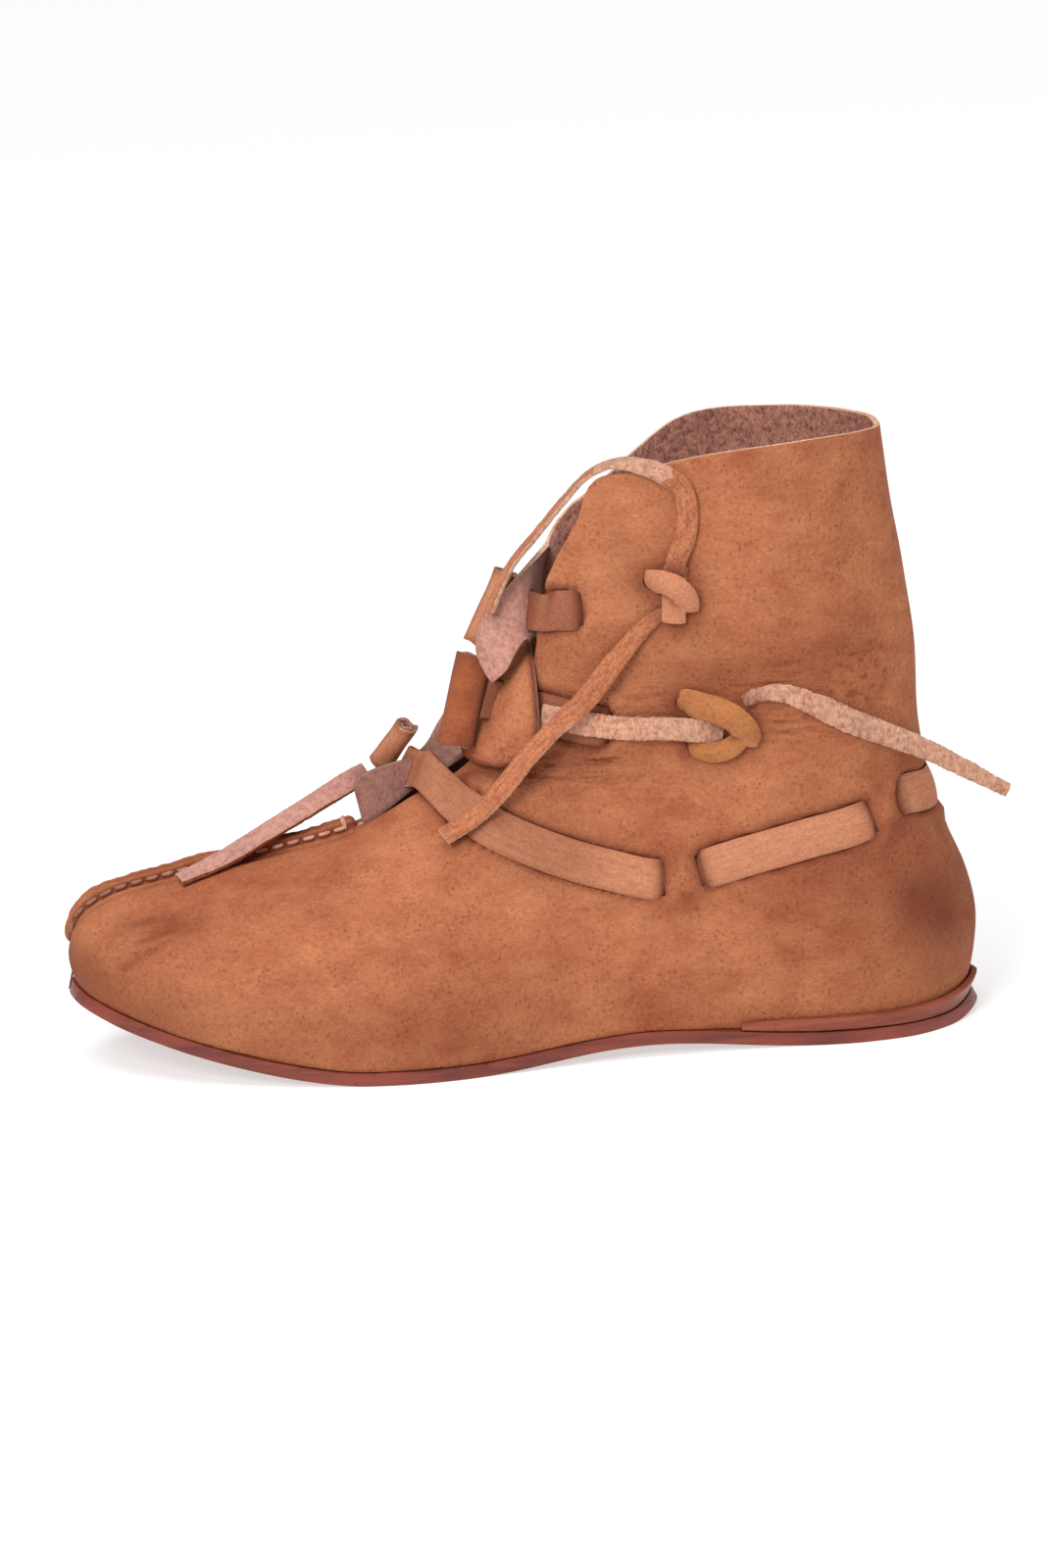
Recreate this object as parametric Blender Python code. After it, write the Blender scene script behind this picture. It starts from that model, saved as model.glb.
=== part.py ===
"""A left medieval ankle shoe of soft leather, with tabs, rolled toggles, an ankle strap and two thongs.

Units are millimetres until a mesh is made. The toe points to -X, the outer side is -Y, and the
origin is on the floor under the heel.
"""

import math

import bmesh
import bpy
import numpy as np
from mathutils import Vector
from mathutils.bvhtree import BVHTree

MM = 0.001
OUTER, INNER = -1, 1  # the sides of the shoe, as the sign of Y

# Driving sizes of the sole and the wall.
HEEL_BACK = 37.2
TOE_TIP = -241.0
SOLE_THICK = 4.0
TOE_SPRING = 21.5
TOE_SPRING_FROM = -150.0
TOE_SPRING_CURVE = 1.5
ARCH_LIFT = 4.0
ARCH_FROM, ARCH_TO = -122.0, -10.0
HEEL_LIFT = 2.5
HEEL_LIFT_FROM = 27.0
SOLE_EDGE = [(0.7, 0.0), (0.0, 0.9), (0.0, 2.8), (1.0, SOLE_THICK)]  # inset, depth below the top
SOLE_COLUMNS, SOLE_ROWS = 45, 3
WALL = 1.8
GAP = 0.3

# The outline of the sole, from the toe tip to the back of the heel.
# x, outer half width, inner half width
OUTLINE = [
    (TOE_TIP, 0.0, 0.0),
    (-238.0, 10.5, 9.5),
    (-228.0, 22.0, 19.5),
    (-209.0, 33.0, 30.0),
    (-185.0, 41.0, 38.5),
    (-160.0, 46.0, 43.0),
    (-135.0, 47.5, 42.5),
    (-108.0, 43.0, 37.5),
    (-80.0, 37.0, 32.0),
    (-50.0, 33.5, 30.0),
    (-22.0, 32.0, 30.5),
    (3.0, 31.5, 31.0),
    (20.0, 26.5, 26.5),
    (32.0, 15.5, 15.5),
    (HEEL_BACK, 0.0, 0.0),
]

# The upper's top line: up the toe, along the vamp seam, up the throat's edge and round the collar.
# The outer quarter has a corner at the collar, and the inner quarter is cut off aslant there.
# share of the sole's edge below it, how far it is an arch, bulge of the wall,
# outer x, half width, z, inner x, half width, z
TOP_LINE = [
    (0.00, 1.00, 1.5, -240.0, 0.0, 37.0, -240.0, 0.0, 37.0),
    (0.04, 1.00, 2.5, -237.4, 1.5, 45.0, -237.4, 1.5, 45.0),
    (0.09, 1.00, 3.0, -229.0, 1.6, 51.0, -229.0, 1.6, 51.0),
    (0.18, 1.00, 3.5, -205.0, 1.6, 57.3, -205.0, 1.6, 57.3),
    (0.27, 1.00, 3.5, -176.0, 1.6, 63.0, -176.0, 1.6, 63.0),
    (0.36, 1.00, 3.0, -150.0, 1.6, 69.5, -150.0, 1.6, 69.5),
    (0.44, 0.90, 3.0, -133.0, 7.0, 79.0, -133.0, 7.0, 79.0),
    (0.50, 0.75, 3.0, -115.0, 10.0, 89.5, -115.0, 10.0, 89.5),
    (0.56, 0.50, 3.0, -95.5, 13.0, 113.0, -97.5, 13.0, 113.0),
    (0.60, 0.35, 3.0, -90.5, 14.5, 132.0, -93.0, 14.5, 130.0),
    (0.64, 0.22, 3.0, -87.0, 17.5, 148.0, -89.5, 16.5, 146.0),
    (0.69, 0.10, 3.5, -78.0, 22.0, 165.0, -81.0, 19.5, 160.0),
    (0.73, 0.00, 4.0, -72.0, 26.0, 178.0, -70.0, 23.0, 167.5),
    (0.76, 0.00, 4.5, -61.0, 29.5, 180.5, -58.0, 27.0, 176.5),
    (0.80, 0.00, 5.0, -45.0, 32.0, 184.0, -45.0, 31.0, 184.5),
    (0.88, 0.00, 6.0, -13.0, 31.0, 187.0, -13.0, 31.0, 187.0),
    (0.95, 0.00, 7.2, 9.0, 15.5, 186.5, 9.0, 15.5, 186.5),
    (1.00, 0.00, 8.6, 15.5, 0.0, 185.5, 15.5, 0.0, 185.5),
]
THROAT_BASE = 0.36
COLLAR_CORNER = 0.73

# The side of the heel and shaft: how a rib leans from the sole's edge to the collar on its way up.
# share of the height, share of the lean, share of the bulge
SHAFT_RIB = [
    (0.00, 0.00, 0.00),
    (0.06, 0.00, 0.40),
    (0.13, 0.06, 0.73),
    (0.22, 0.20, 0.65),
    (0.31, 0.38, 0.35),
    (0.40, 0.52, 0.13),
    (0.49, 0.56, 0.00),
    (0.62, 0.59, 0.00),
    (0.76, 0.74, 0.00),
    (0.90, 0.91, 0.00),
    (1.00, 1.00, 0.00),
]
VAMP_FULLNESS = 2.25  # the exponent of the vamp's arch: 2 is an ellipse
SEAM_HEIGHT = 3.0
SEAM_TOP = 1.2

# Tabs on the inner quarter's throat edge. The low and the top one show their inside, and the middle
# one hangs over the throat. Each is a few lines across it, from the quarter's edge to its own end.
# from and to, as shares of the sole's edge, then each line's points from its low to its high side
TABS = {
    "low": (0.366, 0.515, [
        [
            (-150.5, 2.0, 81.0),
            (-149.3, 2.5, 83.4),
            (-146.5, 3.5, 84.8),
            (-140.0, 6.0, 86.6),
            (-132.0, 9.0, 87.8),
            (-127.5, 10.0, 91.3),
            (-124.0, 11.0, 96.8),
            (-119.5, 11.5, 103.0),
        ],
    ]),
    "middle": (0.519, 0.576, [
        [(-111.0, 7.0, 107.0), (-104.5, 7.0, 114.0), (-95.0, 8.0, 123.0)],
        [(-111.0, -1.0, 114.0), (-104.0, -3.5, 119.0), (-94.2, -5.0, 124.5)],
        [(-111.3, -6.0, 113.5), (-103.5, -13.0, 117.2), (-93.6, -17.0, 121.2)],
        [(-111.8, -8.5, 108.0), (-103.5, -18.0, 110.2), (-93.2, -23.8, 112.2)],
        [(-113.0, -9.5, 102.0), (-103.8, -20.5, 102.8), (-93.3, -26.6, 103.9)],
        [(-116.5, -11.0, 96.5), (-104.5, -22.3, 96.3), (-95.2, -27.6, 98.4)],
        [(-115.5, -13.5, 92.5), (-105.5, -23.2, 92.2), (-98.8, -27.0, 93.8)],
        [(-111.5, -18.0, 91.0), (-106.0, -23.0, 91.0), (-102.5, -25.4, 91.7)],
    ]),
    "top": (0.580, 0.655, [
        [(-92.8, 2.0, 124.5), (-90.0, 6.0, 150.3)],
        [(-93.4, -9.5, 128.0), (-94.0, -7.0, 149.0)],
        [(-95.4, -14.0, 128.5), (-101.0, -11.0, 142.5)],
        [(-98.8, -17.5, 124.2), (-107.5, -14.5, 135.6)],
        [(-101.5, -19.5, 120.0), (-110.2, -17.5, 129.9)],
        [(-104.2, -20.5, 118.0), (-109.6, -19.5, 123.5)],
        [(-106.0, -20.8, 116.9), (-107.6, -20.5, 119.1)],
    ]),
}
TAB_ROWS, TAB_COLUMNS = 11, 8

SEAM_COLUMNS, THROAT_COLUMNS, COLLAR_COLUMNS = 14, 4, 12
TOE_CROWDING = 1.3  # how much closer together the columns are at the toe
RIB_ROWS = 12

# The strip round the heel.
RAND_FROM = 0.715
RAND_THICK = 2.0
RAND_SIDE_TOP, RAND_BACK_TOP = 8.4, 10.7
RAND_TIP = 2.2
RAND_TAPER = 0.03
RAND_INSET, EDGE_INSET = 2.6, 0.8  # of the wall's foot inside the sole's edge, behind the rand and elsewhere
RAND_COLUMNS = 20
RAND_RIBS = np.linspace(0, 0.2, 41)  # the part of the wall that the rand lies against

# Flat straps through slits in the wall. A slit leaves room for its strap to pass aslant.
STRAP_WIDE, STRAP_THICK = 12.0, 1.6
SLIT_LONG, SLIT_SPARE = 6.8, 1.4
SLIT_PASS = 2.6  # half the length over which a strap goes through the wall
SLIT_STATIONS = (-1, -0.5, 0, 0.5, 1)  # of a strap in a slit
TAB_SLIT_SPARE, TAB_SLIT_RINGS = 0.7, 7  # room round a strap in a tab's slit
STRAP_STEP, FREE_STEP, LOOK_AHEAD = 5.0, 3.0, 0.5
STRAP_GAPS = {"ankle_strap": 0.9, "upper_strap": 0.7, "middle_strap": 0.5}  # off the wall
SKIN_COLUMNS, SKIN_ROWS = 140, 40  # the fine skin that straps and thongs are laid on

# Each strap from its toggle inwards. First the stretch that crosses the throat and goes through a tab.
# x, y, z, direction of its width, 1 where it crosses the tab
STRAP_FRONTS = {
    "ankle_strap": [
        (-135.2, 11.2, 85.6, 0.46, -0.20, 0.87, 1),
        (-133.4, 9.2, 84.8, 0.46, -0.10, 0.88, 1),
        (-130.6, 4.5, 84.6, 0.45, 0.05, 0.89, 1),
        (-128.2, -4.5, 86.5, 0.44, 0.25, 0.86, 0),
        (-125.0, -14.2, 85.4, 0.42, 0.42, 0.80, 0),
    ],
    "upper_strap": [
        (-100.6, -6.0, 136.9, 0.43, 0.00, 0.90, 0),
        (-97.2, -7.0, 136.4, 0.41, 0.00, 0.91, 1),
        (-94.4, -9.0, 136.1, 0.37, 0.00, 0.93, 0),
        (-91.8, -14.6, 136.6, 0.27, -0.12, 0.95, 1),
        (-89.4, -18.8, 137.2, 0.21, -0.17, 0.96, 0),
    ],
    "middle_strap": [
        (-108.6, -15.6, 110.9, 0.30, 0.00, 0.95, 0),
        (-107.4, -15.5, 110.6, 0.30, 0.00, 0.95, 1),
        (-104.0, -15.0, 109.6, 0.28, 0.00, 0.96, 1),
        (-101.0, -14.9, 108.3, 0.25, 0.08, 0.97, 1),
        (-98.6, -16.1, 107.4, 0.21, 0.02, 0.97, 0),
    ],
}
# Then the stretch along the wall, which goes through it at its slits.
# x, y, z, 1 at a slit
ANKLE_STRAP = [
    (-117.5, -21.0, 79.0, 0),
    (-109.0, -27.5, 74.0, 0),
    (-91.5, -30.5, 65.5, 0),
    (-74.5, -30.0, 59.0, 0),
    (-57.5, -30.5, 55.0, 1),
    (-46.0, -30.5, 57.0, 1),
    (-32.0, -31.5, 61.0, 0),
    (-14.5, -32.5, 65.5, 0),
    (6.5, -28.0, 70.0, 1),
    (15.5, -21.0, 74.0, 1),
    (24.0, -10.0, 73.0, 0),
    (26.5, 0.0, 72.5, 0),
]
ANKLE_STRAP_END_SLIT = 2  # the row that is a slit on the inner side alone, near the strap's end
UPPER_STRAP = [
    (-85.5, -19.2, 137.5, 0),
    (-78.5, -22.0, 137.8, 1),
    (-66.0, -25.0, 138.2, 0),
]
MIDDLE_STRAP = [
    (-97.0, -16.8, 107.1, 0),
    (-92.0, -19.5, 106.3, 0),
    (-82.0, -23.7, 104.2, 0),
    (-71.5, -26.0, 102.0, 1),
    (-60.0, -27.5, 100.5, 0),
]

# Toggles: the end of a strap rolled up round itself.
# x, y, z of its middle, direction of the roll, length, half width, half depth
TOGGLES = {
    "upper_toggle": (-105.3, -6.0, 137.0, 0.43, 0.00, 0.90, 24.0, 4.2, 4.2),
    "middle_toggle": (-115.0, -15.0, 110.8, 0.27, 0.15, 0.95, 28.0, 5.8, 4.2),
    "low_toggle": (-137.7, 12.9, 91.3, 0.50, -0.45, 0.74, 18.0, 4.1, 4.1),
}
ROLL_TURNS = 1.6
ROLL_THICK = 1.2
ROLL_GAP = 0.25
ROLL_SIDES = 30

# Thongs: x, y, z near the wall, then the lift of the thong's middle off the wall,
# or the way that the thong faces where it is free of the wall
THONG_THICK = 1.6
THONG_WIDTHS = {
    "upper_lace_over": 6.0,
    "upper_lace_down": 6.4,
    "lower_lace_front": 7.0,
    "lower_lace_back": 7.0,
    "toggle_tail": 8.0,
}
THONG_STEP = 7.0
THONGS = {
    "upper_lace_over": [
        (-49.0, -32.0, 153.2, 1.6),
        (-46.0, -33.0, 161.0, 1.2),
        (-45.0, -33.0, 169.0, 1.3),
        (-46.5, -33.0, 176.0, 1.8),
        (-50.5, -35.0, 179.8, (-0.25, -0.75, 0.60)),
        (-57.0, -32.0, 182.6, (-0.40, -0.30, 0.85)),
        (-65.5, -27.5, 183.5, (-0.60, 0.10, 0.80)),
        (-73.5, -23.0, 179.8, (-0.70, -0.05, 0.70)),
        (-81.0, -19.5, 172.0, (-0.80, -0.20, 0.58)),
        (-90.5, -16.5, 160.8, (-0.82, -0.30, 0.50)),
        (-98.5, -15.5, 151.5, (-0.80, -0.40, 0.45)),
        (-102.6, -16.2, 144.3, (-0.78, -0.45, 0.42)),
        (-105.6, -17.4, 138.0, (-0.75, -0.52, 0.40)),
    ],
    "upper_lace_down": [
        (-57.5, -30.0, 132.0, 1.8),
        (-66.0, -27.0, 122.0, 3.4),
        (-77.0, -26.0, 111.0, 6.6),
        (-88.0, -24.5, 101.0, 10.2),
        (-97.0, -24.0, 92.0, 10.6),
        (-105.0, -24.5, 84.0, 7.2),
        (-114.0, -26.0, 76.0, 4.4),
        (-122.0, -29.0, 71.0, 3.8),
    ],
    "lower_lace_front": [
        (-44.0, -33.0, 102.0, 2.4),
        (-52.0, -31.0, 102.0, 2.8),
        (-62.0, -29.0, 102.3, 3.3),
        (-73.0, -28.0, 103.0, 3.3),
        (-83.0, -26.0, 104.7, 3.3),
        (-92.0, -22.0, 106.2, 3.3),
    ],
    "lower_lace_back": [
        (-25.5, -33.0, 111.0, 1.6),
        (-19.0, -33.0, 111.5, 1.3),
        (-10.0, -32.5, 107.5, 1.3),
        (2.0, -30.0, 100.5, 1.3),
        (12.0, -25.0, 95.0, 1.7),
        (24.0, -19.0, 88.0, (0.40, -0.85, 0.30)),
        (36.0, -14.0, 80.0, (0.30, -0.90, 0.30)),
        (49.5, -10.0, 71.0, (0.20, -0.92, 0.30)),
    ],
    "toggle_tail": [
        (-146.0, 10.0, 83.2, (-0.30, -0.70, 0.65)),
        (-152.0, 7.8, 81.2, (-0.30, -0.65, 0.70)),
        (-158.0, 5.0, 78.6, (-0.30, -0.60, 0.75)),
        (-167.0, 1.0, 74.5, (-0.25, -0.50, 0.80)),
        (-178.0, -3.0, 69.5, (-0.20, -0.40, 0.85)),
        (-190.0, -7.0, 63.8, (-0.20, -0.35, 0.90)),
        (-205.0, -11.5, 57.5, 1.6),
    ],
}
# Knots, as plain lumps: x, y, z, how far one reaches along, out of and up the wall
KNOTS = {
    "upper_lace_knot": (-51.5, -32.0, 143.0, 6.0, 2.8, 8.4),
    "lower_lace_knot": (-34.5, -33.0, 104.5, 8.2, 3.0, 8.0),
}
KNOT_RINGS, KNOT_SIDES = 8, 12


def smooth(keys, rows, at):
    """Values on a smooth curve through a table's rows, at the given keys."""
    keys = np.asarray(keys, float)
    rows = np.asarray(rows, float)
    at = np.clip(np.asarray(at, float), keys[0], keys[-1])
    slope = np.gradient(rows, keys, axis=0)
    i = np.clip(np.searchsorted(keys, at, side="right") - 1, 0, len(keys) - 2)
    gap = keys[i + 1] - keys[i]
    u = (at - keys[i]) / gap
    if rows.ndim > 1:
        gap, u = gap[..., None], u[..., None]
    a = (1 + 2 * u) * (1 - u) ** 2 * rows[i] + u * (1 - u) ** 2 * gap * slope[i]
    b = u * u * (3 - 2 * u) * rows[i + 1] + u * u * (u - 1) * gap * slope[i + 1]
    return a + b


def chords(points):
    """The distance along a line of points, at each of them."""
    steps = np.linalg.norm(np.diff(points, axis=0), axis=1)
    return np.concatenate([[0.0], np.cumsum(steps)])


def unit(v):
    return v / np.maximum(np.linalg.norm(v, axis=-1, keepdims=True), 1e-9)


def sole_edge(side, share):
    """A point of the sole's outline in plan, a share of the way from toe tip to heel back."""
    x, outer, inner = np.array(OUTLINE).T
    near = np.stack([x, OUTER * outer], axis=1)
    far = np.stack([x, INNER * inner], axis=1)
    mine, other = (near, far) if side == OUTER else (far, near)
    line = np.concatenate([other[1:3][::-1], mine, other[-3:-1][::-1]])
    along = chords(line)
    start, end = along[2], along[-3]
    return smooth(along, line, start + np.asarray(share) * (end - start))


def sole_edge_normal(side, share):
    """The direction out of the sole's outline in plan."""
    step = 1e-3
    share = np.clip(np.asarray(share, float), step, 1 - step)
    along = unit(sole_edge(side, share + step) - sole_edge(side, share - step))
    return np.stack([side * -along[..., 1], side * along[..., 0]], axis=-1)


def sole_bottom(x):
    """The height of the sole's underside: flat under ball and heel."""
    x = np.asarray(x, float)
    toe = np.clip((TOE_SPRING_FROM - x) / (TOE_SPRING_FROM - TOE_TIP), 0, 1)
    arch = np.clip((x - ARCH_FROM) / (ARCH_TO - ARCH_FROM), 0, 1)
    heel = np.clip((x - HEEL_LIFT_FROM) / (HEEL_BACK - HEEL_LIFT_FROM), 0, 1)
    return (
        TOE_SPRING * toe**TOE_SPRING_CURVE
        + ARCH_LIFT * np.sin(math.pi * arch) ** 2
        + HEEL_LIFT * heel**2
    )


def feather_edge(side, share):
    """Where the upper's wall meets the sole: inside the sole's edge, further in behind the rand."""
    share = np.asarray(share, float)
    back = np.clip((share - RAND_FROM + 2 * RAND_TAPER) / (2 * RAND_TAPER), 0, 1)
    inset = EDGE_INSET + (RAND_INSET - EDGE_INSET) * back * back * (3 - 2 * back)
    normal = sole_edge_normal(side, share)
    normal = np.where((share < 1e-6)[..., None], (-1.0, 0.0), normal)
    normal = np.where((share > 1 - 1e-6)[..., None], (1.0, 0.0), normal)
    return sole_edge(side, share) - inset[..., None] * normal, normal


def upper_point(side, share, rise):
    """A point of the upper's outside: share runs from toe to heel, rise from sole to top line."""
    share, rise = np.broadcast_arrays(np.asarray(share, float), np.asarray(rise, float))
    table = np.array(TOP_LINE)
    arch, bulge, *lines = np.moveaxis(smooth(table[:, 0], table[:, 1:], share), -1, 0)
    x, width, z = lines[:3] if side == OUTER else lines[3:]
    foot, outward = feather_edge(side, share)
    foot_z = sole_bottom(foot[..., 0]) + SOLE_THICK + GAP
    rib = np.array(SHAFT_RIB)
    lean, swell = np.moveaxis(smooth(rib[:, 0], rib[:, 1:], rise), -1, 0)
    power = 2 / VAMP_FULLNESS
    turn = rise * math.pi / 2
    height = arch * np.sin(turn) ** power + (1 - arch) * rise
    lean = arch * (1 - np.maximum(np.cos(turn), 0) ** power) + (1 - arch) * lean
    swell = arch * np.sin(math.pi * rise**0.8) + (1 - arch) * swell
    top = np.stack([x, side * width], axis=-1)
    plan = foot + (top - foot) * lean[..., None] + outward * (bulge * swell)[..., None]
    return np.concatenate([plan, (foot_z + (z - foot_z) * height)[..., None]], axis=-1)


def grid_normals(grid, side):
    """Outward normals of a grid of points with columns from toe to heel and rows going up."""
    along = np.gradient(grid, axis=0)
    up = np.gradient(grid, axis=1)
    return unit(np.cross(along, up)) * -side


def leather(name, colour, roughness):
    material = bpy.data.materials.new(name)
    material.use_nodes = True
    shader = material.node_tree.nodes["Principled BSDF"]
    shader.inputs["Base Color"].default_value = (*colour, 1.0)
    shader.inputs["Roughness"].default_value = roughness
    shader.inputs["Metallic"].default_value = 0.0
    return material


def add_solid(name, points, faces, material, sharp=40.0):
    """One closed mesh object, with its doubles merged and its faces turned outwards."""
    mesh = bpy.data.meshes.new(name)
    mesh.from_pydata([tuple(float(c) * MM for c in p) for p in points], [], faces)
    work = bmesh.new()
    work.from_mesh(mesh)
    bmesh.ops.remove_doubles(work, verts=work.verts, dist=1e-6)
    bmesh.ops.dissolve_degenerate(work, edges=work.edges, dist=1e-6)
    bmesh.ops.recalc_face_normals(work, faces=work.faces)
    work.to_mesh(mesh)
    work.free()
    mesh.shade_smooth()
    mesh.set_sharp_from_angle(angle=math.radians(sharp))
    mesh.materials.append(material)
    thing = bpy.data.objects.new(name, mesh)
    bpy.context.collection.objects.link(thing)
    return thing


class Sheet:
    """Collects grids of points and the faces between them."""

    def __init__(self):
        self.points, self.faces = [], []

    def grid(self, points):
        """Adds a grid of points and gives the number of each."""
        points = np.asarray(points, float)
        start = len(self.points)
        self.points.extend(points.reshape(-1, 3))
        return np.arange(start, start + points[..., 0].size).reshape(points.shape[:-1])

    def skin(self, numbers):
        """Faces over a grid of point numbers."""
        for i in range(numbers.shape[0] - 1):
            for j in range(numbers.shape[1] - 1):
                corners = numbers[i, j], numbers[i + 1, j], numbers[i + 1, j + 1], numbers[i, j + 1]
                self.faces.append(tuple(int(c) for c in corners))

    def strip(self, first, second):
        """Faces between two rows of point numbers."""
        self.skin(np.stack([first, second], axis=1))

    def face(self, *numbers):
        self.faces.append(tuple(int(n) for n in numbers))


def upper_columns():
    """The shares of the sole's edge at which the upper has a rib, close together at a tab's sides."""
    across = (1 - np.cos(np.linspace(0, math.pi, TAB_COLUMNS + 1))) / 2
    tabs = [start + (end - start) * across for start, end, *_ in TABS.values()]
    return np.concatenate([
        np.linspace(0, 1, SEAM_COLUMNS) ** TOE_CROWDING * THROAT_BASE,
        *tabs,
        np.linspace(tabs[-1][-1], COLLAR_CORNER, THROAT_COLUMNS)[1:-1],
        np.linspace(COLLAR_CORNER, 1, COLLAR_COLUMNS),
    ])


def build_sole(material):
    shares = np.linspace(0, 1, SOLE_COLUMNS)
    across = np.linspace(0, 1, SOLE_ROWS)
    outer, inner = sole_edge(OUTER, shares), sole_edge(INNER, shares)
    sheet = Sheet()
    rims = []
    for inset, depth in SOLE_EDGE:
        rim = []
        for side, edge in ((OUTER, outer), (INNER, inner)):
            plan = edge - inset * feather_edge(side, shares)[1]
            height = sole_bottom(plan[:, 0]) + SOLE_THICK - depth
            rim.append(np.column_stack([plan, height]))
        rims.append(rim)

    def plate(rim, thick):
        grid = rim[0][:, None] * (1 - across)[:, None] + rim[1][:, None] * across[:, None]
        grid[..., 2] = sole_bottom(grid[..., 0]) + thick
        return sheet.grid(grid)

    top, bottom = plate(rims[0], SOLE_THICK), plate(rims[-1], 0.0)
    sheet.skin(top)
    sheet.skin(bottom)
    for k, column in ((0, 0), (1, -1)):
        rows = [top[:, column]]
        rows += [sheet.grid(rim[k]) for rim in rims[1:-1]]
        rows.append(bottom[:, column])
        sheet.skin(np.stack(rows, axis=1))
    return add_solid("sole", sheet.points, sheet.faces, material, 50.0)


def tab_face(name, shares):
    """A tab's outside, as a grid from the inner quarter's edge to the tab's end."""
    start, end, lines = TABS[name]
    place = (shares - start) / (end - start)
    rows = [upper_point(INNER, shares, 1.0)]
    for line in lines:
        along = chords(np.array(line))
        rows.append(smooth(along, line, place * along[-1]))
    rows = np.array(rows)
    steps = np.linalg.norm(np.diff(rows, axis=0), axis=2).mean(axis=1)
    at = np.concatenate([[0.0], np.cumsum(steps)])
    face = smooth(at, rows.reshape(len(rows), -1), np.linspace(0, at[-1], TAB_ROWS))
    return np.moveaxis(face.reshape(TAB_ROWS, len(shares), 3), 0, 1)


def build_upper(material):
    shares = upper_columns()
    rises = np.linspace(0, 1, RIB_ROWS)
    base = SEAM_COLUMNS - 1
    sheet = Sheet()
    tops, insides, fins = {}, {}, {}
    skins = {side: upper_point(side, shares[:, None], rises[None, :]) for side in (OUTER, INNER)}
    linings = {side: skin - WALL * grid_normals(skin, side) for side, skin in skins.items()}
    # The two halves share their line at toe, heel and seam.
    shared = np.zeros(linings[OUTER].shape[:2], bool)
    shared[[0, -1]] = True
    shared[: base + 1, -1] = True
    middle = (linings[OUTER] + linings[INNER]) / 2
    middle[..., 1] = 0.0
    for side in (OUTER, INNER):
        grid = skins[side]
        inside = np.where(shared[..., None], middle, linings[side])
        inside[:, 0, 2] = grid[:, 0, 2]
        outer, inner = sheet.grid(grid), sheet.grid(inside)
        sheet.skin(outer)
        sheet.skin(inner)
        sheet.strip(outer[:, 0], inner[:, 0])
        ridge = grid[: base + 1, -1]
        along = unit(np.gradient(ridge[:, [0, 2]], axis=0))
        fin = ridge + SEAM_HEIGHT * np.column_stack([-along[:, 1], 0 * along[:, 0], along[:, 0]])
        fin[:, 1] = np.clip(ridge[:, 1], -SEAM_TOP, SEAM_TOP)
        fins[side] = sheet.grid(fin)
        sheet.strip(outer[: base + 1, -1], fins[side])
        tops[side], insides[side] = outer[:, -1], inner[:, -1]
        bare = np.ones(len(shares) - 1, bool)
        bare[:base] = False
        for name, (start, end, *_) in TABS.items() if side == INNER else ():
            first, last = (int(np.argmin(np.abs(shares - k))) for k in (start, end))
            bare[first:last] = False
            face = tab_face(name, shares[first : last + 1])
            back = face - WALL * grid_normals(face, side)
            back[:, 0] = inside[first : last + 1, -1]
            face, back = sheet.grid(face), sheet.grid(back)
            sheet.skin(face)
            sheet.skin(back)
            for rim in (np.s_[0], np.s_[-1], np.s_[:, -1]):
                sheet.strip(face[rim], back[rim])
        for k in np.nonzero(bare)[0]:
            sheet.strip(outer[k : k + 2, -1], inner[k : k + 2, -1])
    sheet.strip(fins[OUTER], fins[INNER])
    sheet.face(tops[OUTER][base], fins[OUTER][-1], fins[INNER][-1], tops[INNER][base])
    sheet.face(tops[OUTER][base], tops[INNER][base], insides[INNER][base])
    return add_solid("upper", sheet.points, sheet.faces, material)


def build_rand(material):
    side_shares = np.linspace(RAND_FROM, 1, RAND_COLUMNS)
    sheet = Sheet()
    rings = []
    for side in (OUTER, INNER):
        shares = side_shares if side == OUTER else side_shares[::-1][1:]
        foot, outward = feather_edge(side, shares)
        floor = sole_bottom(foot[:, 0]) + SOLE_THICK + GAP
        back = (shares - RAND_FROM) / (1 - RAND_FROM)
        tall = RAND_SIDE_TOP + (RAND_BACK_TOP - RAND_SIDE_TOP) * back**3
        taper = np.clip((shares - RAND_FROM) / RAND_TAPER, 0, 1)
        top = floor + RAND_TIP + (tall - floor - RAND_TIP) * taper * (2 - taper)
        for i, share in enumerate(shares):
            ribs = upper_point(side, share, RAND_RIBS)
            ring = []
            for z in (floor[i], top[i]):
                skin = np.array([np.interp(z, ribs[:, 2], ribs[:, k]) for k in (0, 1)])
                for out in (GAP, GAP + RAND_THICK):
                    plan = skin + outward[i] * out
                    seat = sole_bottom(plan[0]) + SOLE_THICK + GAP
                    ring.append((*plan, seat if z == floor[i] else z))
            rings.append([ring[0], ring[1], ring[3], ring[2]])
    numbers = sheet.grid(np.array(rings))
    sheet.skin(np.column_stack([numbers, numbers[:, 0]]))
    sheet.face(*numbers[0])
    sheet.face(*numbers[-1])
    return add_solid("heel_rand", sheet.points, sheet.faces, material)


def skin_tree():
    """The upper's outside as a search tree, with its faces turned outwards."""
    shares, rises = np.linspace(0, 1, SKIN_COLUMNS), np.linspace(0, 1, SKIN_ROWS)
    points, faces = [], []
    for side in (OUTER, INNER):
        grid = upper_point(side, shares[:, None], rises[None, :])
        start = len(points)
        points.extend(map(tuple, grid.reshape(-1, 3)))
        for i in range(len(shares) - 1):
            for j in range(len(rises) - 1):
                k = start + i * len(rises) + j
                face = (k, k + len(rises), k + len(rises) + 1, k + 1)
                faces.append(face if side == OUTER else face[::-1])
    return BVHTree.FromPolygons(points, faces)


def on_skin(tree, point):
    """The nearest point of the upper's outside, and the way out of it."""
    place, normal, _, _ = tree.find_nearest(Vector(point))
    return np.array(place), np.array(normal)


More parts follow.
